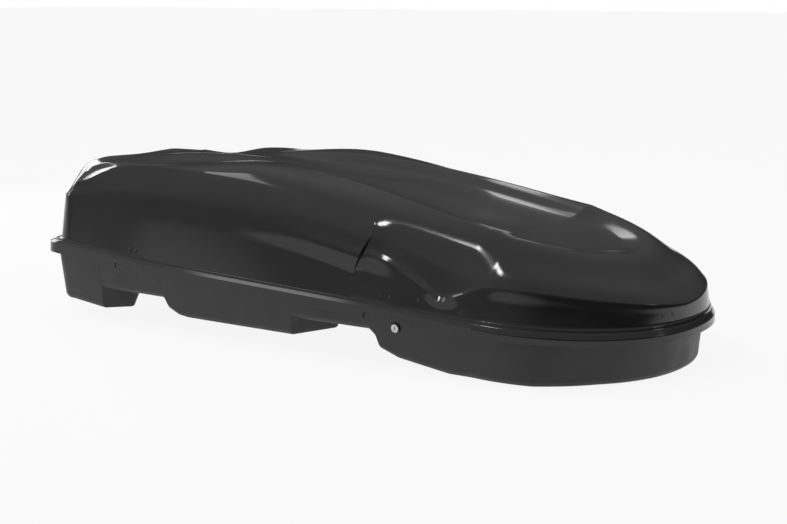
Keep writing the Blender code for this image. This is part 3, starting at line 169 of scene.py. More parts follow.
# Rings from the blade's lower edge to the edge of the trough's floor: height above the rim plane
# and distance inside the rim as (station, metres), distance inside it at the rear and at the tip,
# rear radius, lean of the cut and share of the rim's rise at the rear
LID_RINGS = [
    # lower edge of the blade, then the middle of the skirt
    dict(height=[(0, .112), (1, .112), (1.6, .115), (2, .125), (2.115, .118), (2.23, .127),
                 (2.396, .122), (2.518, .115), (2.638, .098), (2.729, .076), (2.763, .065),
                 (2.82, .056), (2.88, .036), (2.906, .026), (2.94, .012), (2.957, .008),
                 (2.975, .012), (3, .025), (3.08, .040), (3.45, .034), (4, .020)],
         inset=[(0, .045), (2, .045), (2.25, .032), (2.77, .032), (2.957, .0175), (3.13, .026),
                (4, .020)],
         rear=.044, radius=.060, nose=.018, lean=0, rise=1),
    # middle of the blade, then the lower edge of the skirt's chamfer
    dict(height=[(0, .115), (1, .115), (1.6, .119), (2, .131), (2.115, .141), (2.23, .158),
                 (2.396, .158), (2.518, .150), (2.638, .136), (2.729, .120), (2.777, .113),
                 (2.795, .1135), (2.82, .109), (2.865, .085), (2.91, .058), (2.934, .042),
                 (2.956, .027), (2.966, .030), (2.976, .040), (2.993, .051), (3.012, .062),
                 (3.032, .069), (3.105, .081), (3.21, .080), (3.371, .074), (3.613, .059),
                 (4, .033)],
         inset=[(0, .047), (2, .047), (2.266, .038), (2.777, .0385), (2.82, .036), (2.865, .033),
                (2.91, .027), (2.934, .021), (2.956, .018), (2.976, .0195), (2.993, .024),
                (3.032, .028), (3.105, .031), (3.452, .031), (4, .025)],
         rear=.043, radius=.060, nose=.021, lean=.0142, rise=1),
    # upper part of the blade, then the upper edge of the chamfer
    dict(height=[(0, .119), (1, .119), (1.6, .123), (2, .137), (2.115, .158), (2.23, .179),
                 (2.396, .181), (2.518, .173), (2.638, .154), (2.729, .134), (2.78, .1245),
                 (2.795, .1255), (2.816, .121), (2.859, .103), (2.902, .076), (2.926, .060),
                 (2.944, .045), (2.952, .039), (2.96, .0385), (2.972, .047), (2.993, .055),
                 (3.012, .066), (3.032, .0725), (3.105, .084), (3.21, .083), (3.371, .077),
                 (3.613, .062), (4, .036)],
         inset=[(0, .050), (2, .050), (2.266, .044), (2.78, .0435), (2.816, .047), (2.859, .046),
                (2.902, .043), (2.926, .038), (2.952, .030), (2.972, .028), (3.032, .0305),
                (3.105, .033), (3.452, .033), (4, .027)],
         rear=.041, radius=.060, nose=.024, lean=.0172, rise=1),
    # top of the blade's cut, then the upper edge of the facet and the foot of the dome
    dict(height=[(0, .123), (1, .123), (1.6, .127), (2, .143), (2.115, .180), (2.23, .207),
                 (2.396, .214), (2.518, .208), (2.638, .197), (2.729, .181), (2.793, .167),
                 (2.827, .147), (2.892, .127), (2.942, .106), (2.986, .096), (3.065, .092),
                 (3.105, .092), (3.21, .093), (3.452, .084), (4, .047)],
         inset=[(0, .053), (2, .053), (2.266, .058), (2.793, .058), (2.878, .060), (2.957, .050),
                (3.105, .038), (3.452, .040), (4, .038)],
         rear=.044, radius=.060, nose=.038, lean=.0300, rise=1),
    # crest of the shoulder
    dict(height=[(0, .136), (1, .136), (1.5, .138), (1.8, .148), (2, .164), (2.06, .198),
                 (2.108, .228), (2.151, .241), (2.23, .250), (2.396, .256), (2.518, .250),
                 (2.638, .236), (2.763, .215), (2.914, .180), (3.105, .150), (3.452, .118),
                 (4, .079)],
         inset=[(0, .053), (1.8, .053), (2, .056), (2.122, .076), (2.266, .080), (2.554, .084),
                (2.763, .100), (2.986, .100), (3.452, .095), (4, .080)],
         rear=.045, radius=.066, nose=.088, lean=.0200, rise=.6),
    # ridge beside the trough
    dict(height=[(0, .215), (1, .211), (1.6, .207), (2, .209), (2.108, .222), (2.2, .239),
                 (2.28, .259), (2.338, .271), (2.42, .281), (2.5, .283), (2.58, .277),
                 (2.66, .267), (2.73, .256), (2.8, .242), (2.863, .226), (2.993, .196),
                 (3.1, .184), (3.21, .175), (3.532, .154), (4, .136)],
         inset=[(0, .105), (2, .108), (2.108, .150), (2.2, .200), (2.28, .242), (2.35, .262),
                (2.42, .264), (2.5, .246), (2.58, .229), (2.66, .212), (2.73, .195), (2.8, .177),
                (2.863, .162), (2.993, .148), (3.21, .150), (4, .160)],
         rear=.062, radius=.060, nose=.165, lean=0, rise=.5),
    # edge of the trough floor
    dict(height=[(0, .228), (1, .227), (2, .226), (2.108, .233), (2.2, .246), (2.28, .257),
                 (2.338, .259), (2.446, .257), (2.54, .253), (2.658, .245), (2.727, .236),
                 (2.799, .221), (2.863, .205), (2.993, .173), (3.21, .158), (3.532, .145),
                 (4, .138)],
         inset=[(0, .24), (2, .25), (2.2, .29), (2.338, .315), (2.45, .31), (2.54, .295),
                (2.658, .28), (2.799, .262), (2.863, .255), (2.993, .245), (3.452, .25), (4, .26)],
         rear=.125, radius=.080, nose=.235, lean=0, rise=.2),
]
# Height of the trough's middle line above the rim plane, as (place along the box, metres)
SPINE_HEIGHT = [(-.78, .236), (-.68, .248), (-.60, .255), (-.50, .260), (-.40, .259), (-.25, .255),
                (-.12, .251), (.045, .243), (.14, .233), (.24, .218), (.33, .202), (.51, .170),
                (.60, .154), (.70, .141)]
SPINE_REAR = -LENGTH / 2 + 0.19
SPINE_FRONT = LENGTH / 2 - 0.26

# Sharpness of the fold along each ring, 0 smooth to 1 sharp
LID_FOLDS = [
    [(0, .6), (2, .8), (2.76, .8), (2.79, 0), (4, 0)],
    [(0, .3), (2.7, 0), (2.765, 0), (2.78, .9), (4, .8)],
    [(0, .3), (2.7, 0), (2.765, 0), (2.78, .9), (3.1, .9), (4, .7)],
    [(0, .3), (2.76, 0), (2.8, .2), (2.86, .7), (3.08, .7), (3.12, 0), (4, 0)],
    [(0, 0), (1.7, 0), (2, .5), (2.1, .9), (2.30, .8), (2.50, 0), (4, 0)],
    [(0, .2), (2.1, .2), (2.42, .6), (3.0, .6), (3.3, .3), (4, .3)],
    [(0, 0), (2.28, .2), (2.42, .6), (3.3, .6), (4, .6)],
]
LID_BLURS = [CREASED, CREASED, CREASED, CREASED, SHOULDER, SOFT, SOFT]
# Faces of the outer and the inner skin between one line of the ribs and the next
LID_STEPS = (6, 24, 6, 8, 4, 8, 10, 14, 8, 10)
LID_INNER_STEPS = (1, 1, 1, 2, 1, 2, 3, 4, 2, 3)


def rear_rise(s):
    """Rise of the rim round the rear corners, as a smooth step that ends at station 2.3."""
    return REAR_RISE * through([(0, 1), (1.95, 1), (2.3, 0), (4, 0)], s)


def lid_skin(s, steps, notched, bladed):
    """Ribs from the lip to the centre line: cubic spans between the rings, which share a tangent
    where the fold is 0 and keep their own where it is 1. The blade swells by a power of half a sine,
    and the bead and groove of the flange are half sines."""
    rear, nose = -LENGTH / 2 + REAR_TRIM, LENGTH / 2
    drop = through([(0, BAND_DROP_SIDE), (2.8, BAND_DROP_SIDE), (3.2, BAND_DROP_NOSE),
                    (4, BAND_DROP_NOSE)], s)
    lift = np.zeros(s.shape)
    if notched:
        for start, end in (FRONT_GRIP, REAR_GRIP):
            lift[(s > start) & (s < end)] = GRIP_LIFT
    rise = rear_rise(s)
    foot = through([(0, CORNER_FOOT_INSET), (2, CORNER_FOOT_INSET), (2.2, FOOT_INSET),
                    (4, FOOT_INSET)], s)
    lip_plan = ring(s, 0.0, rear, CORNER_RADIUS, nose)
    band_plan = ring(s, BAND_INSET, rear + BAND_INSET, CORNER_RADIUS, nose - BAND_INSET)
    foot_plan = ring(s, foot, rear + REAR_FOOT_INSET, FOOT_RADIUS, nose - FOOT_INSET)
    points = [lifted(lip_plan, rise - LIP_BOTTOM + lift), lifted(band_plan, rise - drop),
              lifted(foot_plan, rise)]
    for item, blur in zip(LID_RINGS, LID_BLURS):
        at = leaning(s, item["lean"])
        cut = BLADE_CUT + item["lean"] if blur is CREASED else NO_CUT
        plan = ring(at, eased(item["inset"], at, blur, cut), -LENGTH / 2 + item["rear"], item["radius"],
                    nose - item["nose"])
        points.append(lifted(plan, eased(item["height"], at, blur, cut) + rise * item["rise"]))
    side = points[-1][:, 0]
    at_corner = np.interp(2.0, s, side)
    x = np.select([s < 2, s <= 3], [SPINE_REAR + (at_corner - SPINE_REAR) * np.clip(s / 2, 0, 1), side],
                  NOSE_X + (SPINE_FRONT - NOSE_X) * np.sin(np.clip(s - 3, 0, 1) * math.pi / 2))
    points.append(np.stack([x, 0 * x, RIM_HEIGHT - RIM_FALL * x + through(SPINE_HEIGHT, x)], axis=-1))
    points = np.stack(points)
    chord = np.diff(points, axis=0)
    length = np.linalg.norm(chord, axis=2, keepdims=True)
    unit = chord / length
    before, after = np.concatenate([unit[:1], unit]), np.concatenate([unit, unit[-1:]])
    near, far = np.concatenate([length, length[-1:]]), np.concatenate([length[:1], length])
    mean = before * near + after * far
    mean /= np.linalg.norm(mean, axis=2, keepdims=True)
    fold = np.ones((len(points), len(s), 1))
    for k, knots in enumerate(LID_FOLDS):
        fold[3 + k, :, 0] = through(knots, s)
    mean[-1], fold[-1] = (0, 1, 0), 0
    into, out = mean + (before - mean) * fold, mean + (after - mean) * fold
    rows = [points[:1]]
    for k, count in enumerate(steps):
        t = (np.arange(1, count + 1) / count)[:, None, None]
        rows.append((2 * t**3 - 3 * t**2 + 1) * points[k] + (t**3 - 2 * t**2 + t) * length[k] * out[k]
                    + (3 * t**2 - 2 * t**3) * points[k + 1] + (t**3 - t**2) * length[k] * into[k + 1])
    rows = np.concatenate(rows)
    rows[:, (s == 0) | (s == 4), 1] = 0
    if bladed:
        first = sum(steps[:3])
        top = first + sum(steps[3:6])
        f = np.clip((np.arange(len(rows)) - first) / (top - first), 0, 1)[:, None]
        swell = through([(2.45, 0), (2.62, .35), (BLADE_CUT, 1)], s) * (s <= BLADE_CUT)
        arch = np.sin(math.pi * np.minimum(f * SWELL_STRETCH, 1))**SWELL_POWER
        rows[:, :, 1] -= BLADE_PROUD * swell * arch * (f < 1)
        across = np.clip((np.arange(len(rows)) - steps[0]) / steps[1], 0, 1)[:, None]
        bead = np.sin(math.pi * np.clip((across - BEAD_START) / BEAD_SPAN, 0, 1))
        groove = np.sin(math.pi * np.clip((across - GROOVE_START) / GROOVE_SPAN, 0, 1))
        rows[:, :, 2] += BEAD_HEIGHT * bead - GROOVE_DEPTH * groove
    return rows


INNER_DAMPING, INNER_REACH = 0.04, (0.8, 1.8)


def inner_skin(grid, wall, sign):
    """Grid moved inward so that the faces round each point keep the wall's thickness: a damped least
    squares solution, held between two multiples of the wall."""
    normal = np.cross(grid[:-1, 1:] - grid[1:, :-1], grid[1:, 1:] - grid[:-1, :-1]) * sign
    normal /= np.maximum(np.linalg.norm(normal, axis=-1, keepdims=True), 1e-12)
    rows, cols = grid.shape[:2]
    square, total = np.zeros((rows, cols, 3, 3)), np.zeros((rows, cols, 3))
    for di in (0, 1):
        for dj in (0, 1):
            where = (slice(di, rows - 1 + di), slice(dj, cols - 1 + dj))
            square[where] += normal[..., :, None] * normal[..., None, :]
            total[where] += normal
    move = -wall * np.linalg.solve(square + INNER_DAMPING * np.eye(3), total[..., None])[..., 0]
    move[np.abs(grid[..., 1]) < 1e-9, 1] = 0
    far = np.linalg.norm(move, axis=-1, keepdims=True)
    held = np.clip(far, INNER_REACH[0] * wall, INNER_REACH[1] * wall)
    return grid + move * held / np.maximum(far, 1e-9)


def stations(parts, extra):
    """Stations along half the rim, evenly spread in each part, with the extra ones between them."""
    s = [np.linspace(a, b, n, endpoint=False) for a, b, n in parts] + [np.array([4.0])]
    return np.unique(np.round(np.concatenate(s + [np.array(extra)]), 5))


WELD_DISTANCE, SHARP_ANGLE = 0.00002, math.radians(32)


def shell(name, halves):
    """Closed shell from (outer, inner) grids of both halves, joined at the lip, where the grids'
    first rows are, and along the middle plane."""
    verts, faces, start = [], [], 0
    for outer, inner in halves:
        for grid, turned in ((outer, False), (inner, True)):
            rows, cols = grid.shape[:2]
            index = start + np.arange(rows * cols).reshape(rows, cols)
            a, b, c, d = index[:-1, :-1], index[:-1, 1:], index[1:, 1:], index[1:, :-1]
            faces.append(np.stack([a, d, c, b] if turned else [a, b, c, d], -1).reshape(-1, 4))
            verts.append(grid.reshape(-1, 3))
            if turned:
                faces.append(np.stack([edge[:-1], index[0, :-1], index[0, 1:], edge[1:]], -1))
            edge = index[0]
            start += rows * cols
    mesh = bpy.data.meshes.new(name)
    mesh.from_pydata(np.concatenate(verts).tolist(), [], np.concatenate(faces).tolist())
    bm = bmesh.new()
    bm.from_mesh(mesh)
    bmesh.ops.remove_doubles(bm, verts=bm.verts, dist=WELD_DISTANCE)
    bmesh.ops.recalc_face_normals(bm, faces=bm.faces)
    bm.to_mesh(mesh)
    bm.free()
    mesh.shade_smooth()
    mesh.set_sharp_from_angle(angle=SHARP_ANGLE)
    piece = bpy.data.objects.new(name, mesh)
    scene.collection.objects.link(piece)
    return piece


def lid():
    """Lid with its hand notches on the side that opens, and the same skin mirrored on the far side."""
    extra = [BLADE_CUT, BLADE_CUT + CUT_WIDTH]
    for edge in FRONT_GRIP + REAR_GRIP:
        extra += [edge - NOTCH_END / 2, edge + NOTCH_END / 2]
    s = stations([(0, 1, 16), (1, 2, 20), (2, 2.74, 70), (2.74, 3.1, 90), (3.1, 4, 50)], extra)
    halves = []
    for notched, side in ((True, 1), (False, MIRROR)):
        outer = lid_skin(s, LID_STEPS, notched, True)
        inner = inner_skin(lid_skin(s, LID_INNER_STEPS, notched, False), LID_WALL, 1)
        halves.append((outer * side, inner * side))
    return shell("lid_skin", halves)


CLOUD_LOW, CLOUD_HIGH = 0.35, 0.65


def surface_group(name, stretch):
    """Node group of a worked surface: a cloudy roughness and a fine relief, on Object coordinates."""
    group = bpy.data.node_groups.new(name, "ShaderNodeTree")
    for socket, value in (("Grain Scale", 400.0), ("Relief", 0.1), ("Depth", 0.0002),
                          ("Smooth", 0.2), ("Rough", 0.3), ("Cloud Scale", 6.0)):
        item = group.interface.new_socket(socket, in_out="INPUT", socket_type="NodeSocketFloat")
        item.default_value = value
    group.interface.new_socket("Roughness", in_out="OUTPUT", socket_type="NodeSocketFloat")
    group.interface.new_socket("Normal", in_out="OUTPUT", socket_type="NodeSocketVector")
    group.interface.new_socket("Cloud", in_out="OUTPUT", socket_type="NodeSocketFloat")
    tree, links = group.nodes, group.links
    given, made = tree.new("NodeGroupInput"), tree.new("NodeGroupOutput")
    place, mapping = tree.new("ShaderNodeTexCoord"), tree.new("ShaderNodeMapping")
    mapping.inputs["Scale"].default_value = stretch
    cloud, grain = tree.new("ShaderNodeTexNoise"), tree.new("ShaderNodeTexNoise")
    cloud.inputs["Detail"].default_value = 5.0
    grain.inputs["Detail"].default_value = 3.0
    span, relief = tree.new("ShaderNodeMapRange"), tree.new("ShaderNodeBump")
    links.new(place.outputs["Object"], mapping.inputs["Vector"])
    for noise in (cloud, grain):
        links.new(mapping.outputs["Vector"], noise.inputs["Vector"])
    links.new(given.outputs["Cloud Scale"], cloud.inputs["Scale"])
    links.new(given.outputs["Grain Scale"], grain.inputs["Scale"])
    span.inputs["From Min"].default_value = CLOUD_LOW
    span.inputs["From Max"].default_value = CLOUD_HIGH
    links.new(cloud.outputs["Fac"], span.inputs["Value"])
    links.new(given.outputs["Smooth"], span.inputs["To Min"])
    links.new(given.outputs["Rough"], span.inputs["To Max"])
    links.new(given.outputs["Relief"], relief.inputs["Strength"])
    links.new(given.outputs["Depth"], relief.inputs["Distance"])
    links.new(grain.outputs["Fac"], relief.inputs["Height"])
    links.new(span.outputs["Result"], made.inputs["Roughness"])
    links.new(relief.outputs["Normal"], made.inputs["Normal"])
    links.new(cloud.outputs["Fac"], made.inputs["Cloud"])
    return group


def worked_material(name, group, colours, metallic=0.0, **values):
    """Material whose colour drifts between two tones with the group's cloud."""
    mat = bpy.data.materials.new(name)
    mat.use_nodes = True
    tree, links = mat.node_tree.nodes, mat.node_tree.links
    shader = tree["Principled BSDF"]
    shader.inputs["Metallic"].default_value = metallic
    worked, tone = tree.new("ShaderNodeGroup"), tree.new("ShaderNodeValToRGB")
    worked.node_tree = group
    for socket, value in values.items():
        worked.inputs[socket.replace("_", " ").title()].default_value = value
    for element, place, colour in zip(tone.color_ramp.elements, (CLOUD_LOW, CLOUD_HIGH), colours):
        element.position = place
        element.color = (*colour, 1)
    links.new(worked.outputs["Cloud"], tone.inputs["Fac"])
    links.new(tone.outputs["Color"], shader.inputs["Base Color"])
    links.new(worked.outputs["Roughness"], shader.inputs["Roughness"])
    links.new(worked.outputs["Normal"], shader.inputs["Normal"])
    return mat


moulded = surface_group("moulded_surface", (1, 1, 1))
gloss = worked_material("gloss_black_abs", moulded, [(.0115, .0100, .0112), (.0135, .0118, .0125)],
                        grain_scale=70, relief=0.03, depth=0.0003, smooth=0.095, rough=0.125,
                        cloud_scale=5)
piece = lid()
piece.data.materials.append(gloss)
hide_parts("lid_shell")
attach(piece, "lid")


# Base: a tub vacuum-formed from matt, finely grained black ABS, 4 mm thick, with pods under its sides
# and its nose that stand between the roof bars. Its flange lies inside the lid's lip.
RIM_CLEARANCE, BASE_WALL = 0.0012, 0.004
WALL_INSET, WALL_DRAFT, DRAFT_DEPTH = 0.027, 0.017, 0.13
FLOOR_INSET, REAR_FLOOR_INSET = 0.045, 0.028
BAR_LEVEL, POD_LEVEL, REAR_POD_LEVEL = 0.088, 0.040, 0.027
POD_CHAMFER, MID_POD_WIDTH, REAR_POD_WIDTH = 0.011, 0.14, 0.062
POD_SLOPE, POD_SKEW, POD_ROUND = 0.03, 0.045, 0.003
CHAMFER_RUN = 0.6 * POD_CHAMFER
# The chamfer's top and foot at the rear, as distances further in than REAR_FLOOR_INSET
REAR_CHAMFER_TOP, REAR_CHAMFER_FOOT = 0.010, 0.016
REAR_CHANNEL, FRONT_CHANNEL = (2.101, 2.2806), (2.6115, 2.7914)
# Widths in stations over which the steps, the slopes and the nose's corner are worn round
STEP, SLOPE_WEAR, NOSE_WEAR = 0.002, 0.004, 0.01
# Radii of the corners of a rib, from the flange's tip to the floor, points in each, and the largest
# share of a straight line that a corner takes up
RIB_RADII = (0, .002, .004, POD_ROUND, .006, .008, .010, 0)
ROUND_POINTS, LARGEST_SHARE = 6, 0.45
# Plan corners: share of the inset taken off the radius, least radius, share of it that is kept and
# power of the blend into the side
CORNER_TIGHTEN, LEAST_RADIUS, CORNER_SHARE, SIDE_BLEND = 0.3, 0.02, 0.8, 12
# Middle line of the floor: share of the way to the rear corner at station 0, share gained with each
# station, and reach into the nose in metres
FLOOR_LINE_START, FLOOR_LINE_GAIN, FLOOR_LINE_NOSE = 0.3, 0.35, 0.20
NOSE_FALL = [(2.7986, .080), (2.8065, .070), (2.813, .042), (2.8525, .022), (2.9396, .004),
             (2.9604, 0), (4, 0)]
BASE_BOTTOM = [(0, BAR_LEVEL), (.78, BAR_LEVEL), (.92, POD_LEVEL), (2, POD_LEVEL),
               (REAR_CHANNEL[0], REAR_POD_LEVEL), (REAR_CHANNEL[0] + STEP, BAR_LEVEL),
               (REAR_CHANNEL[1], BAR_LEVEL), (2.2914, .060), (2.3165, .044), (2.34, POD_LEVEL),
               (FRONT_CHANNEL[0], POD_LEVEL), (FRONT_CHANNEL[0] + STEP, BAR_LEVEL),
               (FRONT_CHANNEL[1], BAR_LEVEL)] + NOSE_FALL
BASE_MIDDLE = [(0, BAR_LEVEL), (FRONT_CHANNEL[1], BAR_LEVEL)] + NOSE_FALL
NOSE_CORNER = [(0, 0), (3.0, 0), (3.08, .010), (3.27, .030), (3.41, .017), (3.53, 0), (4, 0)]
POD_WIDTHS = [(0, REAR_POD_WIDTH), (2.15, REAR_POD_WIDTH), (2.28, MID_POD_WIDTH),
              (4, MID_POD_WIDTH)]
POD_SKEWS = [(0, 0), (2.0, 0), (2.1, POD_SKEW), (2.82, POD_SKEW), (3.0, 0), (4, 0)]


def worn_in(knots, s, width):
    """Straight lines through the knots, averaged over a bell of a width in stations."""
    x, y = np.array(knots, float).T
    offsets = np.linspace(-2, 2, 17)
    weight = np.exp(-offsets**2)
    return (np.interp(s[:, None] + offsets * width, x, y) * weight).sum(1) / weight.sum()


def tub_ring(s, inset, rear_inset):
    """Plan curve inside the rim by one distance at the sides and nose and another at the rear."""
    inset = np.broadcast_to(inset, s.shape)
    kept = np.maximum(CORNER_RADIUS - CORNER_TIGHTEN * inset, LEAST_RADIUS)
    radius = np.interp(2.0, s, kept) * CORNER_SHARE
    x, y = ring(s, inset, -LENGTH / 2 + rear_inset, radius, LENGTH / 2 - inset)
    f = np.clip(s - 2, 0, 1)
    straight = CORNER_X + (NOSE_X - CORNER_X) * f
    x_rear = np.interp(2.0, s, x)
    side = straight + (x_rear - CORNER_X) * (1 - f)**SIDE_BLEND
    return np.where((s > 2) & (s <= 3), side, x), y


def rounded(rows, radii, count):
    """Each inner corner of the ribs replaced by a parabola that starts a radius away on both sides."""
    out = [rows[0]]
    for k in range(1, len(rows) - 1):
        before, after = rows[k - 1] - rows[k], rows[k + 1] - rows[k]
        far_a = np.linalg.norm(before, axis=1, keepdims=True)
        far_b = np.linalg.norm(after, axis=1, keepdims=True)
        start = rows[k] + before * np.minimum(radii[k] / np.maximum(far_a, 1e-9), LARGEST_SHARE)
        end = rows[k] + after * np.minimum(radii[k] / np.maximum(far_b, 1e-9), LARGEST_SHARE)
        for t in np.linspace(0, 1, count):
            out.append((1 - t)**2 * start + 2 * t * (1 - t) * rows[k] + t**2 * end)
    return np.stack(out + [rows[-1]])


def tub_skin(s):
    """Ribs of straight lines with rounded corners: flange, wall, chamfer, pod, slope, raised floor."""
    drop = through([(0, BAND_DROP_SIDE), (2.8, BAND_DROP_SIDE), (3.2, BAND_DROP_NOSE),
                    (4, BAND_DROP_NOSE)], s)
    across = FOOT_INSET - BAND_INSET
    slant = np.hypot(across, drop)
    shift = LID_WALL + RIM_CLEARANCE + BASE_WALL
    d_in, d_down = shift * drop / slant, shift * across / slant
    tip_in = BAND_INSET + LID_WALL + RIM_CLEARANCE + BASE_WALL * drop / slant
    tip_down = drop + d_down - (tip_in - BAND_INSET - d_in) * drop / across
    rise = rear_rise(s)
    draft = WALL_DRAFT / DRAFT_DEPTH
    tip = lifted(tub_ring(s, tip_in, REAR_TRIM + tip_in), rise - tip_down)
    fold = lifted(tub_ring(s, FOOT_INSET + d_in, REAR_TRIM + FOOT_INSET + d_in), rise - d_down)
    wall_top = WALL_INSET + draft * d_down
    top = lifted(tub_ring(s, wall_top, wall_top), rise - d_down)
    bottom, middle = worn_in(BASE_BOTTOM, s, STEP), worn_in(BASE_MIDDLE, s, SLOPE_WEAR)
    pod, skew = worn_in(POD_WIDTHS, s, SLOPE_WEAR), worn_in(POD_SKEWS, s, SLOPE_WEAR)
    x = tub_ring(s, WALL_INSET, WALL_INSET)[0]
    depth = bottom + POD_CHAMFER - (RIM_HEIGHT - RIM_FALL * x)
    foot = WALL_INSET - draft * depth - worn_in(NOSE_CORNER, s, NOSE_WEAR)
    inner = foot + CHAMFER_RUN
    x_wall = tub_ring(s, FLOOR_INSET - CHAMFER_RUN, REAR_FLOOR_INSET + REAR_CHAMFER_TOP)[0]
    y_wall = tub_ring(s, foot, REAR_FLOOR_INSET)[1]
    rows = [tip, fold, top, np.stack([x_wall, y_wall, bottom + POD_CHAMFER], -1)]
    for width, level, slide in ((0, bottom, 0), (pod, bottom, skew), (pod + POD_SLOPE, middle, skew)):
        rear_inset = REAR_FLOOR_INSET + REAR_CHAMFER_FOOT + width
        x_row = tub_ring(s, FLOOR_INSET + width, rear_inset)[0] + slide
        rows.append(np.stack([x_row, tub_ring(s, inner + width, rear_inset)[1], level], -1))
    x_rise = rows[-1][:, 0]
    x_first, x_last = x_rise[0], np.interp(2.0, s, x_rise)
    x_turn = x_first + (x_last - x_first) * (FLOOR_LINE_START + FLOOR_LINE_GAIN * s)
    x_nose = NOSE_X + FLOOR_LINE_NOSE * np.sin(np.clip(s - 3, 0, 1) * math.pi / 2)
    x_mid = np.select([s < 2, s <= 3], [x_turn, x_rise], x_nose)
    rows.append(np.stack([x_mid, 0 * x_mid, middle], -1))
    grid = rounded(np.stack(rows), RIB_RADII, ROUND_POINTS)
    grid[:, (s == 0) | (s == 4), 1] = 0
    return grid


def tub():
    """Tub of two mirrored halves, with closer stations where the channels for the roof bars start
    and end."""
    extra = [station for station, height in BASE_BOTTOM + NOSE_CORNER]
    for start, end in (REAR_CHANNEL, FRONT_CHANNEL):
        extra += list(np.linspace(start - 2 * STEP, start + 3 * STEP, 14))
        extra += list(np.linspace(end - .01, end + .04, 14))
    s = stations([(0, 1, 30), (1, 2, 24), (2, 2.8, 90), (2.8, 3, 30), (3, 4, 90)], extra)
    outer = tub_skin(s)
    inner = inner_skin(outer, BASE_WALL, -1)
    return shell("tub", [(outer, inner), (outer * MIRROR, inner * MIRROR)])


matt = worked_material("matt_black_abs", moulded, [(.024, .024, .025), (.030, .030, .030)],
                       grain_scale=900, relief=0.35, depth=0.0004, smooth=0.42, rough=0.54,
                       cloud_scale=14)
piece = tub()
piece.data.materials.append(matt)
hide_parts("base_shell")
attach(piece, "base")


# Hardware: the hinges, stays, strikers, floor rails, locking bar and the lock's inner pieces are
# zinc-plated steel, the lid's ribs, the lock's rosette and the rivets are black trim, and the bar's
# guides are nylon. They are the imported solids, with these materials put on them.
drawn = surface_group("drawn_surface", (1, 14, 14))
steel = worked_material("zinc_plate", drawn, [(.50, .50, .50), (.60, .60, .61)], metallic=1.0,
                        grain_scale=120, relief=0.12, depth=0.0002, smooth=0.26, rough=0.42,
                        cloud_scale=30)
trim = worked_material("black_trim", moulded, [(.022, .022, .024), (.030, .030, .032)],
                       grain_scale=700, relief=0.2, depth=0.0002, smooth=0.30, rough=0.42,
                       cloud_scale=25)
nylon = worked_material("grey_nylon", moulded, [(.052, .052, .055), (.068, .068, .071)],
                        grain_scale=500, relief=0.2, depth=0.0002, smooth=0.42, rough=0.55,
                        cloud_scale=25)
finishes = {"zinc_plated_steel": steel, "trim_black": trim, "plastic_dark_grey": nylon}
for node in nodes.values():
    for slot in node.material_slots:
        for key, mat in finishes.items():
            if slot.material and slot.material.name.startswith(key):
                slot.material = mat


# Studio: a white paper floor and backdrop, and a room that brightens towards the ceiling and towards
# the rear of the side that opens. A soft box hangs high over that side and a strip light by its rear
# corner; the rear, the far roof edge and the nose have a soft box each.
AIM_HEIGHT = 0.3
NEAR_WALL = (-0.77, -0.64, 0)
NEAR_WALL_GLOW, CEILING_GLOW, ROOM_GLOW = 0.34, 0.60, 0.05


def panel_light(name, azimuth, elevation, distance, size, power):
    """Area lamp aimed at the box from a direction and distance, size = (across, up)."""
    turn, rise = math.radians(azimuth), math.radians(elevation)
    way = Vector((math.cos(turn) * math.cos(rise), math.sin(turn) * math.cos(rise), math.sin(rise)))
    lamp = bpy.data.lights.new(name, "AREA")
    lamp.shape = "RECTANGLE"
    lamp.size, lamp.size_y = size
    lamp.energy = power
    light = bpy.data.objects.new(name, lamp)
    light.location = Vector((0, 0, AIM_HEIGHT)) + way * distance
    light.rotation_euler = way.to_track_quat("Z", "Y").to_euler()
    scene.collection.objects.link(light)


panel_light("key_softbox", 249, 69, 3.2, (0.40, 0.40), 11)
panel_light("strip_light", 192, 49, 3.4, (1.5, 0.7), 8)
panel_light("rear_softbox", 168, 17, 3.6, (2.4, 1.0), 26)
panel_light("ridge_softbox", 107, 34, 3.6, (0.25, 1.1), 2)
panel_light("nose_softbox", 20, 17, 3.6, (0.5, 0.5), 1.5)

world = bpy.data.worlds.new("studio")
scene.world = world
world.use_nodes = True
wt, wl = world.node_tree.nodes, world.node_tree.links
place = wt.new("ShaderNodeTexCoord")


def share_facing(direction, low, high):
    """0 to 1 as a ray turns towards a direction, smooth between two cosines."""
    dot = wt.new("ShaderNodeVectorMath")
    dot.operation = "DOT_PRODUCT"
    dot.inputs[1].default_value = direction
    wl.new(place.outputs["Generated"], dot.inputs[0])
    span = wt.new("ShaderNodeMapRange")
    span.interpolation_type = "SMOOTHSTEP"
    span.inputs["From Min"].default_value = low
    span.inputs["From Max"].default_value = high
    wl.new(dot.outputs["Value"], span.inputs["Value"])
    return span.outputs["Result"]


def combined(operation, first, second):
    """Result of a math node fed with two sockets or numbers."""
    node = wt.new("ShaderNodeMath")
    node.operation = operation
    for socket, source in zip(node.inputs, (first, second)):
        if isinstance(source, (int, float)):
            socket.default_value = source
        else:
            wl.new(source, socket)
    return node.outputs["Value"]


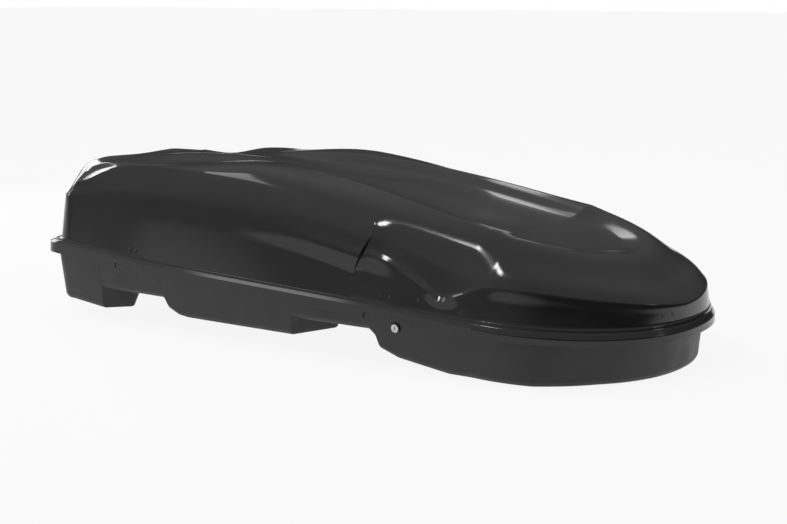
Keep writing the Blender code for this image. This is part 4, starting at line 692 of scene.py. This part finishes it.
paper_wall = combined("MULTIPLY", share_facing((0, 0, -1), -0.10, -0.02),
                      share_facing(NEAR_WALL, 0.2, 0.8))
side_wall = combined("MULTIPLY", share_facing(NEAR_WALL, 0.2, 0.95), NEAR_WALL_GLOW)
ceiling = combined("MULTIPLY", share_facing((0, 0, 1), 0.0, 1.15), CEILING_GLOW)
walls = combined("ADD", combined("ADD", ceiling, side_wall), ROOM_GLOW)
strength = combined("MAXIMUM", walls, paper_wall)
room = wt.new("ShaderNodeBackground")
room.inputs["Color"].default_value = (0.97, 0.98, 1.0, 1)
wl.new(strength, room.inputs["Strength"])
paper_white = wt["Background"]
paper_white.inputs["Color"].default_value = (1, 1, 1, 1)
paper_white.inputs["Strength"].default_value = 1.0
path = wt.new("ShaderNodeLightPath")
mix = wt.new("ShaderNodeMixShader")
wl.new(path.outputs["Is Camera Ray"], mix.inputs["Fac"])
wl.new(room.outputs["Background"], mix.inputs[1])
wl.new(paper_white.outputs["Background"], mix.inputs[2])
wl.new(mix.outputs["Shader"], wt["World Output"].inputs["Surface"])

FLOOR_REACH, FLOOR_DROP = 60, -.001
PAPER_GLOW = 0.90
corners = [(x * FLOOR_REACH, y * FLOOR_REACH, FLOOR_DROP)
           for x, y in ((-1, -1), (1, -1), (1, 1), (-1, 1))]
floor_mesh = bpy.data.meshes.new("floor")
floor_mesh.from_pydata(corners, [], [(0, 1, 2, 3)])
floor = bpy.data.objects.new("floor", floor_mesh)
scene.collection.objects.link(floor)
paper = bpy.data.materials.new("paper")
paper.use_nodes = True
ft, fl = paper.node_tree.nodes, paper.node_tree.links
fshade = ft["Principled BSDF"]
fshade.inputs["Base Color"].default_value = (0.86, 0.86, 0.86, 1)
fshade.inputs["Roughness"].default_value = 0.9
glow = ft.new("ShaderNodeEmission")
glow.inputs["Color"].default_value = (1, 1, 1, 1)
glow.inputs["Strength"].default_value = 1.0
seen = ft.new("ShaderNodeLightPath")
white = ft.new("ShaderNodeMath")
white.operation = "MAXIMUM"
fl.new(seen.outputs["Is Camera Ray"], white.inputs[0])
fl.new(seen.outputs["Is Glossy Ray"], white.inputs[1])
share = ft.new("ShaderNodeMath")
share.operation = "MULTIPLY"
share.inputs[1].default_value = PAPER_GLOW
fl.new(white.outputs[0], share.inputs[0])
blend = ft.new("ShaderNodeMixShader")
fl.new(share.outputs[0], blend.inputs["Fac"])
fl.new(fshade.outputs["BSDF"], blend.inputs[1])
fl.new(glow.outputs["Emission"], blend.inputs[2])
fl.new(blend.outputs["Shader"], ft["Material Output"].inputs["Surface"])
floor_mesh.materials.append(paper)
